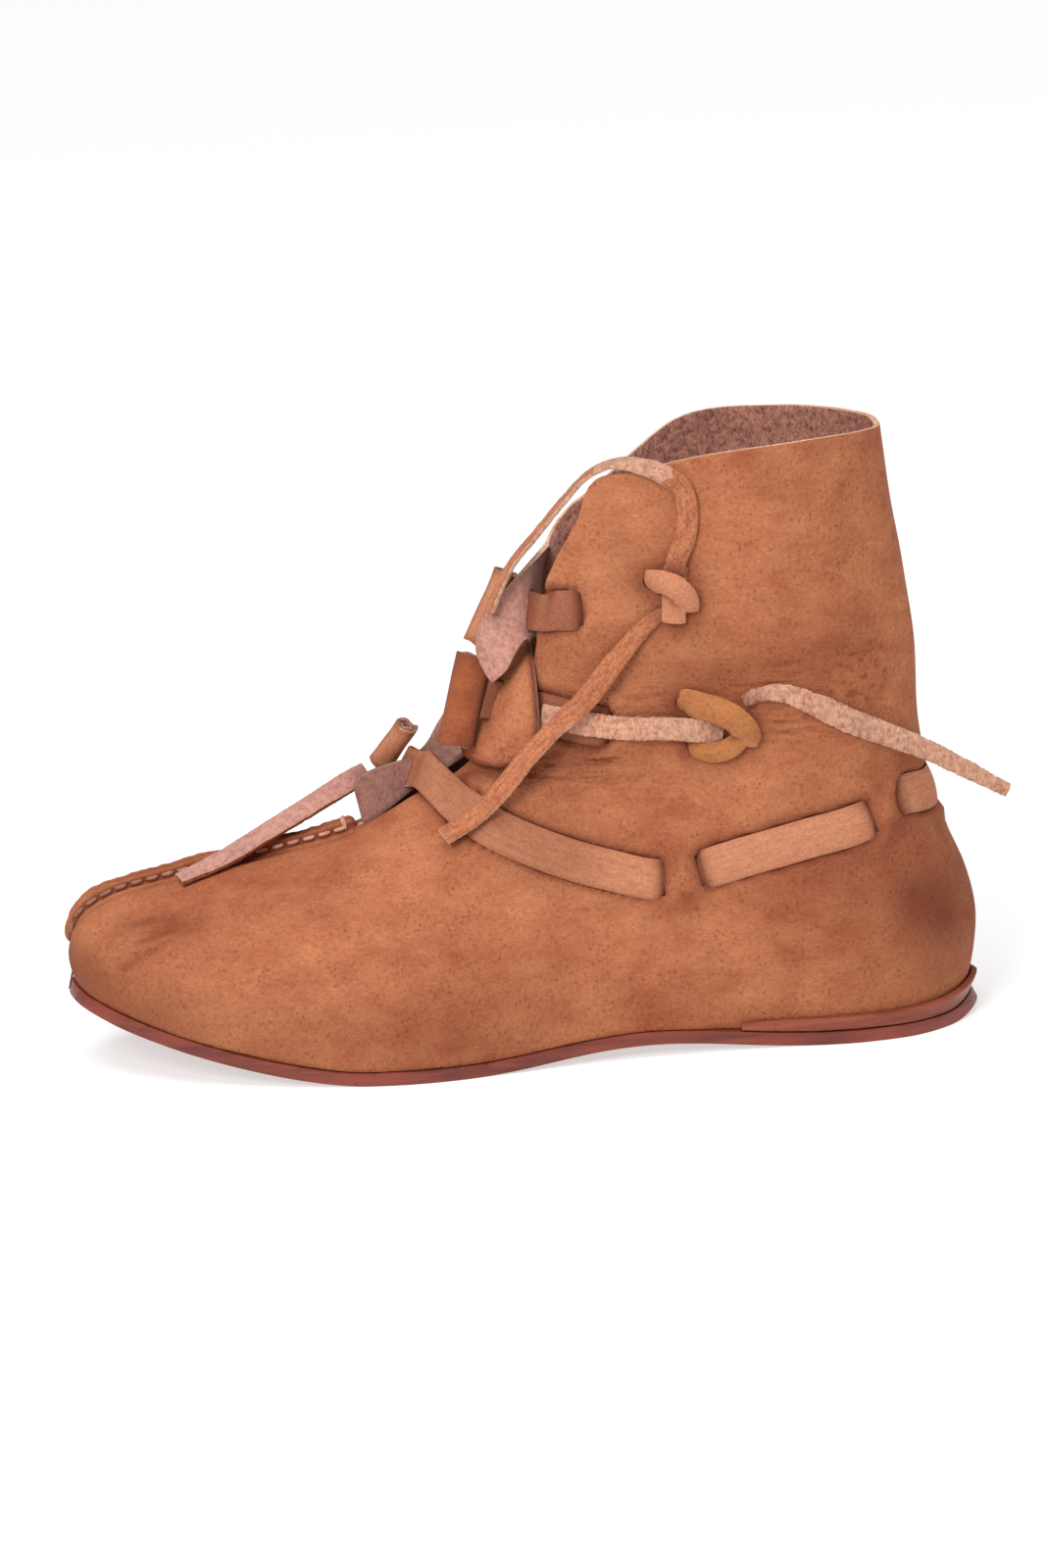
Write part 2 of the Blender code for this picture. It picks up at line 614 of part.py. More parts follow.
def band(sheet, rings):
    """A closed band through rings of points."""
    numbers = sheet.grid(rings)
    sheet.skin(np.column_stack([numbers, numbers[:, 0]]))
    sheet.face(*numbers[0])
    sheet.face(*numbers[-1])


def flat_ring(middle, wide, out, width, thick):
    """The six corners of a flat strap across its middle."""
    rim = [middle + wide * width / 2 * k for k in (-1, 0, 1)]
    return np.array([p - out * thick / 2 for p in rim] + [p + out * thick / 2 for p in rim[::-1]])


def laid_strap(tree, line, gap):
    """Rings of a strap along the wall, the frame of its first two, and the frame of each slit."""
    points = np.array(line)[:, :3]
    at = chords(points)
    slits = [at[k] for k, row in enumerate(line) if row[3]]
    spots = np.linspace(0, at[-1], round(at[-1] / STRAP_STEP) + 1)
    spots = [k for k in spots if all(abs(k - m) > 1.4 * SLIT_PASS for m in slits)]
    spots += [m + k * SLIT_PASS for m in slits for k in SLIT_STATIONS]
    spots = np.array(sorted(spots))
    middles = smooth(at, points, spots)
    ways = unit(np.gradient(middles, axis=0))
    # 1 outside the wall, -1 inside
    side = np.ones(len(spots))
    for m in slits:
        u = np.clip((spots - m) / (2 * SLIT_PASS) + 0.5, 0, 1)
        side = side * (1 - 2 * u * u * (3 - 2 * u))
    lifts = side * (gap + STRAP_THICK / 2 + WALL / 2) - WALL / 2
    rings, frames = [], []
    for middle, way, lift in zip(middles, ways, lifts):
        place, out = on_skin(tree, middle)
        wide = unit(np.cross(out, way))
        rim = [on_skin(tree, place + wide * STRAP_WIDE / 2 * k) for k in (-1, 0, 1)]
        low = [p + n * (lift - STRAP_THICK / 2) for p, n in rim]
        high = [p + n * (lift + STRAP_THICK / 2) for p, n in rim[::-1]]
        rings.append(np.array(low + high))
        frames.append((place, unit(way - out * (way @ out)), wide, out))
    cuts = [frames[int(np.argmin(np.abs(spots - m)))] for m in slits]
    return rings, [(ring.mean(axis=0), frame[2]) for ring, frame in zip(rings[:2], frames)], cuts


def free_strap(rows, onward):
    """Rings of a strap's free front, up to the stretch along the wall, and of its passage through a tab."""
    rows = np.array(rows)
    middles = np.concatenate([rows[:, :3], [middle for middle, _ in onward]])
    wides = np.concatenate([unit(rows[:, 3:6]), [wide for _, wide in onward]])
    at = chords(middles)
    end = at[len(rows)]
    spots = np.linspace(0, end, round(end / FREE_STEP) + 1)[:-1]
    tab = at[: len(rows)][rows[:, 6] > 0]
    rings, passage = [], []
    for spot in np.concatenate([spots, np.linspace(tab[0], tab[-1], TAB_SLIT_RINGS)]):
        near = np.array([spot - LOOK_AHEAD, spot, spot + LOOK_AHEAD])
        earlier, middle, later = smooth(at, middles, near)
        wide = unit(smooth(at, wides, np.array([spot]))[0])
        out = unit(np.cross(later - earlier, wide))
        if len(rings) < len(spots):
            rings.append(flat_ring(middle, wide, out, STRAP_WIDE, STRAP_THICK))
        else:
            spare = 2 * TAB_SLIT_SPARE
            passage.append(flat_ring(middle, wide, out, STRAP_WIDE + spare, STRAP_THICK + spare))
    return rings, passage


def slit_box(place, way, wide, out):
    """A box through the wall, as long as its slit."""
    middle = place - out * WALL / 2
    rings = []
    for k in (-1, 1):
        foot = middle + way * k * SLIT_LONG / 2
        across = wide * (STRAP_WIDE + SLIT_SPARE) / 2
        up = out * (WALL / 2 + STRAP_THICK)
        rings.append([foot - across - up, foot + across - up, foot + across + up, foot - across + up])
    return np.array(rings)


def build_strap(name, line, tree, material, cutter):
    """One strap, with its slits added to the cutter."""
    rings, onward, cuts = laid_strap(tree, line, STRAP_GAPS[name])
    front, passage = free_strap(STRAP_FRONTS[name], onward)
    for cut in cuts:
        band(cutter, slit_box(*cut))
    band(cutter, np.array(passage))
    sheet = Sheet()
    band(sheet, np.array(front + rings))
    return add_solid(name, sheet.points, sheet.faces, material)


def build_toggle(name, material):
    """A toggle: the end of a strap rolled up round itself, its roll across the strap."""
    row = np.array(TOGGLES[name])
    middle, roll = row[:3], unit(row[3:6])
    length, half_wide, half_deep = row[6:]
    across = unit(np.cross(roll, (0.0, 1.0, 0.0)))
    deep = np.cross(roll, across) * half_deep / half_wide
    turn = np.linspace(0, 2 * math.pi * ROLL_TURNS, ROLL_SIDES)
    grow = (ROLL_THICK + ROLL_GAP) / (2 * math.pi)
    inner = half_wide - ROLL_THICK - grow * (turn[-1] - turn)
    ring = np.cos(turn)[:, None] * across + np.sin(turn)[:, None] * deep
    sheet = Sheet()
    numbers = []
    for k, reach in ((-1, inner), (-1, inner + ROLL_THICK), (1, inner + ROLL_THICK), (1, inner)):
        numbers.append(sheet.grid(middle + roll * k * length / 2 + ring * reach[:, None]))
    sheet.skin(np.stack(numbers + numbers[:1]))
    sheet.face(*(row[0] for row in numbers))
    sheet.face(*(row[-1] for row in numbers))
    return add_solid(name, sheet.points, sheet.faces, material)


def thong_line(name, tree):
    """The middles of a thong, and the way that it faces."""
    middles, outs = [], []
    for x, y, z, lift in THONGS[name]:
        place, out = on_skin(tree, (x, y, z))
        free = isinstance(lift, tuple)
        middles.append(np.array((x, y, z)) if free else place + out * lift)
        outs.append(unit(np.array(lift)) if free else out)
    at = chords(middles)
    spots = np.linspace(0, at[-1], round(at[-1] / THONG_STEP) + 1)
    return smooth(at, middles, spots), smooth(at, outs, spots)


def build_thong(name, tree, material):
    """A flat thong that faces away from the wall."""
    middles, outs = thong_line(name, tree)
    ways = unit(np.gradient(middles, axis=0))
    rings = []
    for middle, way, out in zip(middles, ways, outs):
        out = unit(out - way * (out @ way))
        rings.append(flat_ring(middle, np.cross(out, way), out, THONG_WIDTHS[name], THONG_THICK))
    sheet = Sheet()
    band(sheet, np.array(rings))
    return add_solid(name, sheet.points, sheet.faces, material)


def build_knot(name, tree, material):
    """A tied knot as a plain rounded lump that lies on the wall."""
    row = np.array(KNOTS[name])
    place, out = on_skin(tree, row[:3])
    long, deep, tall = row[3:]
    along = unit(np.cross(out, (0.0, 0.0, 1.0)))
    up = np.cross(along, out)
    middle = place + out * (deep + GAP)
    lift = np.linspace(-math.pi / 2, math.pi / 2, KNOT_RINGS)[:, None]
    turn = np.linspace(0, 2 * math.pi, KNOT_SIDES + 1)
    sheet = Sheet()
    ball = middle + (np.cos(lift) * np.cos(turn))[..., None] * along * long
    ball = ball + (np.cos(lift) * np.sin(turn))[..., None] * out * deep
    ball = ball + (np.sin(lift) + 0 * turn)[..., None] * up * tall
    sheet.skin(sheet.grid(ball))
    return add_solid(name, sheet.points, sheet.faces, material)


def cut_slits(upper, cutter):
    """Takes the slits out of the upper."""
    tool = add_solid("slits", cutter.points, cutter.faces, upper.data.materials[0])
    tool.hide_render = True
    tool.display_type = "WIRE"
    cut = upper.modifiers.new("slits", "BOOLEAN")
    cut.operation = "DIFFERENCE"
    cut.object = tool


def build_shoe():
    for thing in list(bpy.data.objects):
        bpy.data.objects.remove(thing)
    tan = leather("tan leather", (0.50, 0.23, 0.10), 0.75)
    red = leather("red brown leather", (0.25, 0.08, 0.05), 0.55)
    build_sole(red)
    upper = build_upper(tan)
    build_rand(red)
    tree = skin_tree()
    mirrored = [(x, -y, z, slit) for x, y, z, slit in ANKLE_STRAP]
    x, y, z, _ = mirrored[ANKLE_STRAP_END_SLIT]
    mirrored[ANKLE_STRAP_END_SLIT] = (x, y, z, 1)
    lines = {
        "ankle_strap": ANKLE_STRAP + mirrored[-2:0:-1],
        "upper_strap": UPPER_STRAP,
        "middle_strap": MIDDLE_STRAP,
    }
    cutter = Sheet()
    for name, line in lines.items():
        build_strap(name, line, tree, tan, cutter)
    cut_slits(upper, cutter)
    for name in TOGGLES:
        build_toggle(name, tan)
    for name in THONGS:
        build_thong(name, tree, tan)
    for name in KNOTS:
        build_knot(name, tree, tan)


build_shoe()
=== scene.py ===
"""Looks of a left medieval ankle shoe of soft tan leather, with a turned sole and knotted thongs.

Tables are in millimetres: toe to -X, outer side to -Y, origin on the floor under the heel.
"""

import math

import bpy
import numpy as np
from mathutils import Matrix, Vector, noise
from mathutils.bvhtree import BVHTree


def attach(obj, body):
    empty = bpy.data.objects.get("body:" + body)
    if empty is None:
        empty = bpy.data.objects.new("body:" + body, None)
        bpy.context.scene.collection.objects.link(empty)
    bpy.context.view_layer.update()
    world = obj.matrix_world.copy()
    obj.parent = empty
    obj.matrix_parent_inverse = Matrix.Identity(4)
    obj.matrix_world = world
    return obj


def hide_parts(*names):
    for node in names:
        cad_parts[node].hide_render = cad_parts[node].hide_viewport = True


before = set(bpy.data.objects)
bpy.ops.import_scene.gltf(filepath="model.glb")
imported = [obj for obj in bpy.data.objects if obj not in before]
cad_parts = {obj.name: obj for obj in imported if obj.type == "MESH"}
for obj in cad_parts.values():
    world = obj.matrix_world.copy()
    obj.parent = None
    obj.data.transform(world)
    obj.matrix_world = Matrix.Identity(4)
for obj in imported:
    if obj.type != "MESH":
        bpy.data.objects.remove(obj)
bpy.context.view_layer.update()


# Sole: one layer of firm leather cut to the foot's outline, raised at toe and arch.
# The upper was sewn to it inside out and the shoe then turned, so none of that seam shows.
# Its cut edge is stained red brown and rubbed smooth.
MM = 0.001
OUTER, INNER = -1, 1  # the sides of the shoe, as the sign of Y
HEEL_BACK, TOE_TIP = 37.2, -241.0
SOLE_THICK, GAP = 4.0, 0.3
TOE_SPRING, TOE_SPRING_FROM, TOE_SPRING_CURVE = 21.5, -150.0, 1.5
ARCH_LIFT, ARCH_FROM, ARCH_TO = 4.0, -122.0, -10.0
HEEL_LIFT, HEEL_LIFT_FROM = 2.5, 27.0
SOLE_COLUMNS, SOLE_ROWS = 180, 16
SOLE_ROUND = 1.3  # rounding of the rubbed edge
# x, outer half width, inner half width, from the toe tip to the back of the heel
OUTLINE = [
    (TOE_TIP, 0.0, 0.0),
    (-238.0, 10.5, 9.5),
    (-228.0, 22.0, 19.5),
    (-209.0, 33.0, 30.0),
    (-185.0, 41.0, 38.5),
    (-160.0, 46.0, 43.0),
    (-135.0, 47.5, 42.5),
    (-108.0, 43.0, 37.5),
    (-80.0, 37.0, 32.0),
    (-50.0, 33.5, 30.0),
    (-22.0, 32.0, 30.5),
    (3.0, 31.5, 31.0),
    (20.0, 26.5, 26.5),
    (32.0, 15.5, 15.5),
    (HEEL_BACK, 0.0, 0.0),
]
SOLE_STAIN = {"Stain": (138, 60, 44), "Dark": (96, 40, 30), "Worn": (164, 84, 60)}
SHARP, SMOOTH = math.radians(50), math.radians(45)  # edges are rounded from here, and smooth up to here
FLESH_SIDE, CUT_SIDE, SHAFT_SIDE = 1, 2, 3  # a piece's finishes, after its grain side


def smooth(keys, rows, at):
    """Values on a smooth curve through a table's rows, at the given keys."""
    keys = np.asarray(keys, float)
    rows = np.asarray(rows, float)
    at = np.clip(np.asarray(at, float), keys[0], keys[-1])
    slope = np.gradient(rows, keys, axis=0)
    i = np.clip(np.searchsorted(keys, at, side="right") - 1, 0, len(keys) - 2)
    gap = keys[i + 1] - keys[i]
    u = (at - keys[i]) / gap
    if rows.ndim > 1:
        gap, u = gap[..., None], u[..., None]
    a = (1 + 2 * u) * (1 - u) ** 2 * rows[i] + u * (1 - u) ** 2 * gap * slope[i]
    b = u * u * (3 - 2 * u) * rows[i + 1] + u * u * (u - 1) * gap * slope[i + 1]
    return a + b


def chords(points):
    """The distance along a line of points, at each of them."""
    steps = np.linalg.norm(np.diff(points, axis=0), axis=1)
    return np.concatenate([[0.0], np.cumsum(steps)])


def unit(v):
    """Directions of length one."""
    return v / np.maximum(np.linalg.norm(v, axis=-1, keepdims=True), 1e-9)


def sole_edge(side, share):
    """A point of the sole's outline in plan, a share of the way from toe tip to heel back."""
    x, outer, inner = np.array(OUTLINE).T
    near = np.stack([x, OUTER * outer], axis=1)
    far = np.stack([x, INNER * inner], axis=1)
    mine, other = (near, far) if side == OUTER else (far, near)
    line = np.concatenate([other[1:3][::-1], mine, other[-3:-1][::-1]])
    along = chords(line)
    start, end = along[2], along[-3]
    return smooth(along, line, start + np.asarray(share) * (end - start))


def sole_edge_normal(side, share):
    """The direction out of the sole's outline in plan."""
    step = 1e-3
    share = np.clip(np.asarray(share, float), step, 1 - step)
    along = unit(sole_edge(side, share + step) - sole_edge(side, share - step))
    return np.stack([side * -along[..., 1], side * along[..., 0]], axis=-1)


def sole_bottom(x):
    """The height of the sole's underside: flat under ball and heel."""
    x = np.asarray(x, float)
    toe = np.clip((TOE_SPRING_FROM - x) / (TOE_SPRING_FROM - TOE_TIP), 0, 1)
    arch = np.clip((x - ARCH_FROM) / (ARCH_TO - ARCH_FROM), 0, 1)
    heel = np.clip((x - HEEL_LIFT_FROM) / (HEEL_BACK - HEEL_LIFT_FROM), 0, 1)
    return (
        TOE_SPRING * toe**TOE_SPRING_CURVE
        + ARCH_LIFT * np.sin(math.pi * arch) ** 2
        + HEEL_LIFT * heel**2
    )


def leather_sheet(name, points):
    """A flat grid, as cut from the hide, bent to the given columns and rows of points."""
    columns, rows = points.shape[0] - 1, points.shape[1] - 1
    bpy.ops.object.select_all(action="DESELECT")
    bpy.ops.mesh.primitive_grid_add(x_subdivisions=columns, y_subdivisions=rows, size=1)
    piece = bpy.context.object
    piece.name = piece.data.name = name
    flat = np.empty(3 * len(piece.data.vertices))
    piece.data.vertices.foreach_get("co", flat)
    flat = flat.reshape(-1, 3) + 0.5
    i = np.rint(flat[:, 0] * columns).astype(int)
    j = np.rint(flat[:, 1] * rows).astype(int)
    piece.data.vertices.foreach_set("co", (points[i, j] * MM).ravel())
    piece.data.update()
    return piece


def pick(piece):
    """Makes a piece the only one that is selected."""
    bpy.ops.object.select_all(action="DESELECT")
    piece.select_set(True)
    bpy.context.view_layer.objects.active = piece


def merge_points(piece):
    """Closes the seams of a piece whose edges meet."""
    pick(piece)
    bpy.ops.object.mode_set(mode="EDIT")
    bpy.ops.mesh.select_all(action="SELECT")
    bpy.ops.mesh.remove_doubles(threshold=0.01 * MM)
    bpy.ops.mesh.dissolve_degenerate(threshold=0.005 * MM)
    bpy.ops.object.mode_set(mode="OBJECT")


def finish_with(piece, kind, **values):
    """Adds one modifier with these values and applies it."""
    modifier = piece.modifiers.new(kind.lower(), kind)
    for key, value in values.items():
        setattr(modifier, key, value)
    bpy.context.view_layer.objects.active = piece
    bpy.ops.object.modifier_apply(modifier=modifier.name)


def round_edges(piece, wide, segments=2):
    """Rounds the sharp edges of a piece."""
    finish_with(piece, "BEVEL", width=wide * MM, segments=segments, limit_method="ANGLE", angle_limit=SHARP)


def thicken(piece, thick, offset, edge, segments=2):
    """Gives a sheet its thickness, with the flesh side behind it, and rounds its cut edges."""
    finish_with(
        piece, "SOLIDIFY", thickness=thick * MM, offset=offset, use_rim=True,
        material_offset=FLESH_SIDE, material_offset_rim=CUT_SIDE,
    )
    round_edges(piece, edge, segments)


def ready(piece, slot, *nodes):
    """A finished piece: it rides on the shoe's one body and stands for its solids."""
    pick(piece)
    bpy.ops.object.shade_smooth_by_angle(angle=SMOOTH)
    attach(piece, "root")
    if nodes:
        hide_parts(*nodes)
    return piece


def paint(colour):
    """A colour in the shader's linear values, from the 0 to 255 of a colour chart."""
    share = np.array(colour) / 255
    return (*np.where(share < 0.04045, share / 12.92, ((share + 0.055) / 1.055) ** 2.4), 1.0)


class Nodes:
    """Adds nodes to a node tree and links them."""

    def __init__(self, tree):
        self.tree = tree

    def feed(self, sockets, values):
        """Links outputs to inputs, or sets plain values on them."""
        for socket, value in zip(sockets, values):
            if isinstance(value, bpy.types.NodeSocket):
                self.tree.links.new(value, socket)
            else:
                socket.default_value = value

    def add(self, kind, **values):
        """One node. A value is set on the node, or goes to its input of that name."""
        node = self.tree.nodes.new("ShaderNode" + kind)
        for key, value in values.items():
            if hasattr(node, key):
                setattr(node, key, value)
            else:
                self.feed([node.inputs[key.title()]], [value])
        return node

    def noise(self, where, scale, detail=3.0, roughness=0.55):
        """Cloudy values between 0 and 1."""
        texture = self.add("TexNoise", vector=where, scale=scale, detail=detail, roughness=roughness)
        return texture.outputs["Fac"]

    def between(self, value, low, high, new_low=0.0, new_high=1.0):
        """The value's place between two limits, as a value between two others."""
        ranged = self.add("MapRange", value=value)
        limits = [ranged.inputs[name] for name in ("From Min", "From Max", "To Min", "To Max")]
        self.feed(limits, (low, high, new_low, new_high))
        return ranged.outputs["Result"]

    def sum(self, kind, first, second):
        """Two values added, subtracted, multiplied or compared."""
        node = self.add("Math", operation=kind)
        self.feed(node.inputs, (first, second))
        return node.outputs[0]

    def both(self, first, weight, second, other_weight):
        """Two values added, each with its weight."""
        first, second = self.sum("MULTIPLY", first, weight), self.sum("MULTIPLY", second, other_weight)
        return self.sum("ADD", first, second)

    def mix(self, factor, first, second, blend="MIX"):
        """Two colours mixed."""
        node = self.add("MixRGB", blend_type=blend)
        self.feed(node.inputs, (factor, first, second))
        return node.outputs[0]

    def mark(self, kind):
        """How dark or how wrinkled the piece is here."""
        return self.add("Attribute", attribute_name=kind).outputs["Fac"]

    def place(self, scale=(1, 1, 1), turn=(0, 0, 0)):
        """Object coordinates, stretched and turned."""
        where = self.add("TexCoord").outputs["Object"]
        mapped = self.add("Mapping", vector=where)
        mapped.inputs["Scale"].default_value = scale
        mapped.inputs["Rotation"].default_value = [math.radians(k) for k in turn]
        return mapped.outputs[0]


def effect_group(name, *colours):
    """A new effect: its group, the nodes in it, the colours given to it and the results it gives."""
    group = bpy.data.node_groups.new(name, "ShaderNodeTree")
    for colour in colours:
        group.interface.new_socket(colour, in_out="INPUT", socket_type="NodeSocketColor")
    for result, kind in (("Color", "Color"), ("Roughness", "Float"), ("Height", "Float")):
        group.interface.new_socket(result, in_out="OUTPUT", socket_type="NodeSocket" + kind)
    results = group.nodes.new("NodeGroupOutput").inputs[:3]
    return group, Nodes(group), group.nodes.new("NodeGroupInput").outputs, results


def leather_material(name, group, colours, bump, depth, sheen=0.0, specular=0.3):
    """A leather finish from one of the effect groups, with its own colours and depth of grain."""
    material = bpy.data.materials.new(name)
    material.use_nodes = True
    tree = material.node_tree
    shader = tree.nodes["Principled BSDF"]
    effect = tree.nodes.new("ShaderNodeGroup")
    effect.node_tree = group
    for key, colour in colours.items():
        effect.inputs[key].default_value = paint(colour)
    relief = tree.nodes.new("ShaderNodeBump")
    relief.inputs["Strength"].default_value = bump
    relief.inputs["Distance"].default_value = depth * MM
    tree.links.new(effect.outputs["Height"], relief.inputs["Height"])
    tree.links.new(relief.outputs["Normal"], shader.inputs["Normal"])
    tree.links.new(effect.outputs["Color"], shader.inputs["Base Color"])
    tree.links.new(effect.outputs["Roughness"], shader.inputs["Roughness"])
    shader.inputs["Sheen Weight"].default_value = sheen
    shader.inputs["Sheen Roughness"].default_value = 0.6
    shader.inputs["Specular IOR Level"].default_value = specular
    return material


def stained_edge():
    """Rubbed and stained leather: streaks along the edge, worn lighter in spots, with dark nicks."""
    group, nodes, given, results = effect_group("stained edge", "Stain", "Dark", "Worn")
    streak = nodes.noise(nodes.place((0.35, 0.35, 2.2)), 240.0, 4.0, 0.65)
    cloud = nodes.noise(nodes.place((0.3, 0.3, 3.0)), 90.0, 4.0, 0.6)
    nick = nodes.between(nodes.noise(nodes.place(), 420.0, 2.0), 0.66, 0.74)
    colour = nodes.mix(nodes.between(cloud, 0.34, 0.62), given["Dark"], given["Stain"])
    colour = nodes.mix(nodes.between(streak, 0.50, 0.75, 0.0, 0.45), colour, given["Worn"])
    colour = nodes.mix(nodes.sum("MULTIPLY", nick, 0.7), colour, given["Dark"])
    gloss = nodes.between(streak, 0.35, 0.7, 0.30, 0.55)
    nodes.feed(results, (colour, gloss, nodes.both(streak, 1.0, nick, -0.5)))
    return group


edge_effect = stained_edge()
sole_finish = leather_material("stained sole leather", edge_effect, SOLE_STAIN, 0.5, 0.5, specular=0.45)

spread = (1 - np.cos(np.linspace(0, math.pi, SOLE_COLUMNS + 1))) / 2
across = np.linspace(0, 1, SOLE_ROWS + 1)[:, None]
near_edge, far_edge = (sole_edge(side, spread)[:, None] for side in (OUTER, INNER))
plan = near_edge * (1 - across) + far_edge * across
top = np.concatenate([plan, (sole_bottom(plan[..., 0]) + SOLE_THICK)[..., None]], axis=-1)
sole = leather_sheet("sole_layer", top)
merge_points(sole)
finish_with(sole, "SOLIDIFY", thickness=SOLE_THICK * MM, offset=-1.0)
round_edges(sole, SOLE_ROUND, 4)
sole.data.materials.append(sole_finish)
ready(sole, "sole_leather", "sole")


# Upper: near and far quarter of soft nubuck, tan on the grain side and pink on the flesh side.
# They are sewn together down the vamp and at the back, and open at collar and throat.
# Three tabs of the far quarter take the straps through slits.
WALL = 1.8
RAND_FROM, RAND_TAPER = 0.715, 0.03
RAND_INSET, EDGE_INSET = 2.6, 0.8
# share of the sole's edge below it, how far it is an arch, bulge of the wall,
# outer x, half width, z, inner x, half width, z
TOP_LINE = [
    (0.00, 1.00, 1.5, -240.0, 0.0, 37.0, -240.0, 0.0, 37.0),
    (0.04, 1.00, 2.5, -237.4, 1.5, 45.0, -237.4, 1.5, 45.0),
    (0.09, 1.00, 3.0, -229.0, 1.6, 51.0, -229.0, 1.6, 51.0),
    (0.18, 1.00, 3.5, -205.0, 1.6, 57.3, -205.0, 1.6, 57.3),
    (0.27, 1.00, 3.5, -176.0, 1.6, 63.0, -176.0, 1.6, 63.0),
    (0.36, 1.00, 3.0, -150.0, 1.6, 69.5, -150.0, 1.6, 69.5),
    (0.44, 0.90, 3.0, -133.0, 7.0, 79.0, -133.0, 7.0, 79.0),
    (0.50, 0.75, 3.0, -115.0, 10.0, 89.5, -115.0, 10.0, 89.5),
    (0.56, 0.50, 3.0, -95.5, 13.0, 113.0, -97.5, 13.0, 113.0),
    (0.60, 0.35, 3.0, -90.5, 14.5, 132.0, -93.0, 14.5, 130.0),
    (0.64, 0.22, 3.0, -87.0, 17.5, 148.0, -89.5, 16.5, 146.0),
    (0.69, 0.10, 3.5, -78.0, 22.0, 165.0, -81.0, 19.5, 160.0),
    (0.73, 0.00, 4.0, -72.0, 26.0, 178.0, -70.0, 23.0, 167.5),
    (0.76, 0.00, 4.5, -61.0, 29.5, 180.5, -58.0, 27.0, 176.5),
    (0.80, 0.00, 5.0, -45.0, 32.0, 184.0, -45.0, 31.0, 184.5),
    (0.88, 0.00, 6.0, -13.0, 31.0, 187.0, -13.0, 31.0, 187.0),
    (0.95, 0.00, 7.2, 9.6, 16.0, 186.5, 9.6, 16.0, 186.5),
    (0.98, 0.00, 8.0, 14.4, 8.0, 186.0, 14.4, 8.0, 186.0),
    (1.00, 0.00, 8.6, 15.5, 0.0, 185.5, 15.5, 0.0, 185.5),
]
THROAT_BASE, COLLAR_CORNER = 0.36, 0.73
# share of the height, share of the lean, share of the bulge
SHAFT_RIB = [
    (0.00, 0.00, 0.00),
    (0.06, 0.00, 0.40),
    (0.13, 0.06, 0.73),
    (0.22, 0.20, 0.65),
    (0.31, 0.38, 0.35),
    (0.40, 0.52, 0.13),
    (0.49, 0.56, 0.00),
    (0.62, 0.59, 0.00),
    (0.76, 0.74, 0.00),
    (0.90, 0.91, 0.00),
    (1.00, 1.00, 0.00),
]
VAMP_FULLNESS = 2.25
# Tabs, each a few lines across it, from the far quarter's edge to its own end
# from and to, as shares of the sole's edge, then each line's points from its low to its high side
TABS = {
    "low": (0.366, 0.515, [
        [
            (-150.5, 2.0, 81.0),
            (-149.3, 2.5, 83.4),
            (-146.5, 3.5, 84.8),
            (-140.0, 6.0, 86.6),
            (-132.0, 9.0, 87.8),
            (-127.5, 10.0, 91.3),
            (-124.0, 11.0, 96.8),
            (-119.5, 11.5, 103.0),
        ],
    ]),
    "middle": (0.519, 0.576, [
        [(-111.0, 7.0, 107.0), (-104.5, 7.0, 114.0), (-95.0, 8.0, 123.0)],
        [(-111.0, -1.0, 114.0), (-104.0, -3.5, 119.0), (-94.2, -5.0, 124.5)],
        [(-111.3, -6.0, 113.5), (-103.5, -13.0, 117.2), (-93.6, -17.0, 121.2)],
        [(-111.8, -8.5, 108.0), (-103.5, -18.0, 110.2), (-93.2, -23.8, 112.2)],
        [(-113.0, -9.5, 102.0), (-103.8, -20.5, 102.8), (-93.3, -26.6, 103.9)],
        [(-116.5, -11.0, 96.5), (-104.5, -22.3, 96.3), (-95.2, -27.6, 98.4)],
        [(-115.5, -13.5, 92.5), (-105.5, -23.2, 92.2), (-98.8, -27.0, 93.8)],
        [(-111.5, -18.0, 91.0), (-106.0, -23.0, 91.0), (-102.5, -25.4, 91.7)],
    ]),
    "top": (0.580, 0.655, [
        [(-92.8, 2.0, 124.5), (-90.0, 6.0, 150.3)],
        [(-93.4, -9.5, 128.0), (-94.0, -7.0, 149.0)],
        [(-95.4, -14.0, 128.5), (-101.0, -11.0, 142.5)],
        [(-98.8, -17.5, 124.2), (-107.5, -14.5, 135.6)],
        [(-101.5, -19.5, 120.0), (-110.2, -17.5, 129.9)],
        [(-104.2, -20.5, 118.0), (-109.6, -19.5, 123.5)],
        [(-106.0, -20.8, 116.9), (-107.6, -20.5, 119.1)],
    ]),
}
TOE_COLUMNS, TAB_COLUMNS, THROAT_COLUMNS, COLLAR_COLUMNS = 56, 22, 10, 56
TOE_CROWDING = 1.3
RIB_ROWS, TAB_ROWS = 96, 40
# The straps' routes along the wall: x, y, z, 1 at a slit
ANKLE_STRAP = [
    (-117.5, -21.0, 79.0, 0),
    (-109.0, -27.5, 74.0, 0),
    (-91.5, -30.5, 65.5, 0),
    (-74.5, -30.0, 59.0, 0),
    (-57.5, -30.5, 55.0, 1),
    (-46.0, -30.5, 57.0, 1),
    (-32.0, -31.5, 61.0, 0),
    (-14.5, -32.5, 65.5, 0),
    (6.5, -28.0, 70.0, 1),
    (15.5, -21.0, 74.0, 1),
    (24.0, -10.0, 73.0, 0),
    (26.5, 0.0, 72.5, 0),
]
UPPER_STRAP = [
    (-85.5, -19.2, 137.5, 0),
    (-78.5, -22.0, 137.8, 1),
    (-66.0, -25.0, 138.2, 0),
]
MIDDLE_STRAP = [
    (-97.0, -16.8, 107.1, 0),
    (-92.0, -19.5, 106.3, 0),
    (-82.0, -23.7, 104.2, 0),
    (-71.5, -26.0, 102.0, 1),
    (-60.0, -27.5, 100.5, 0),
]
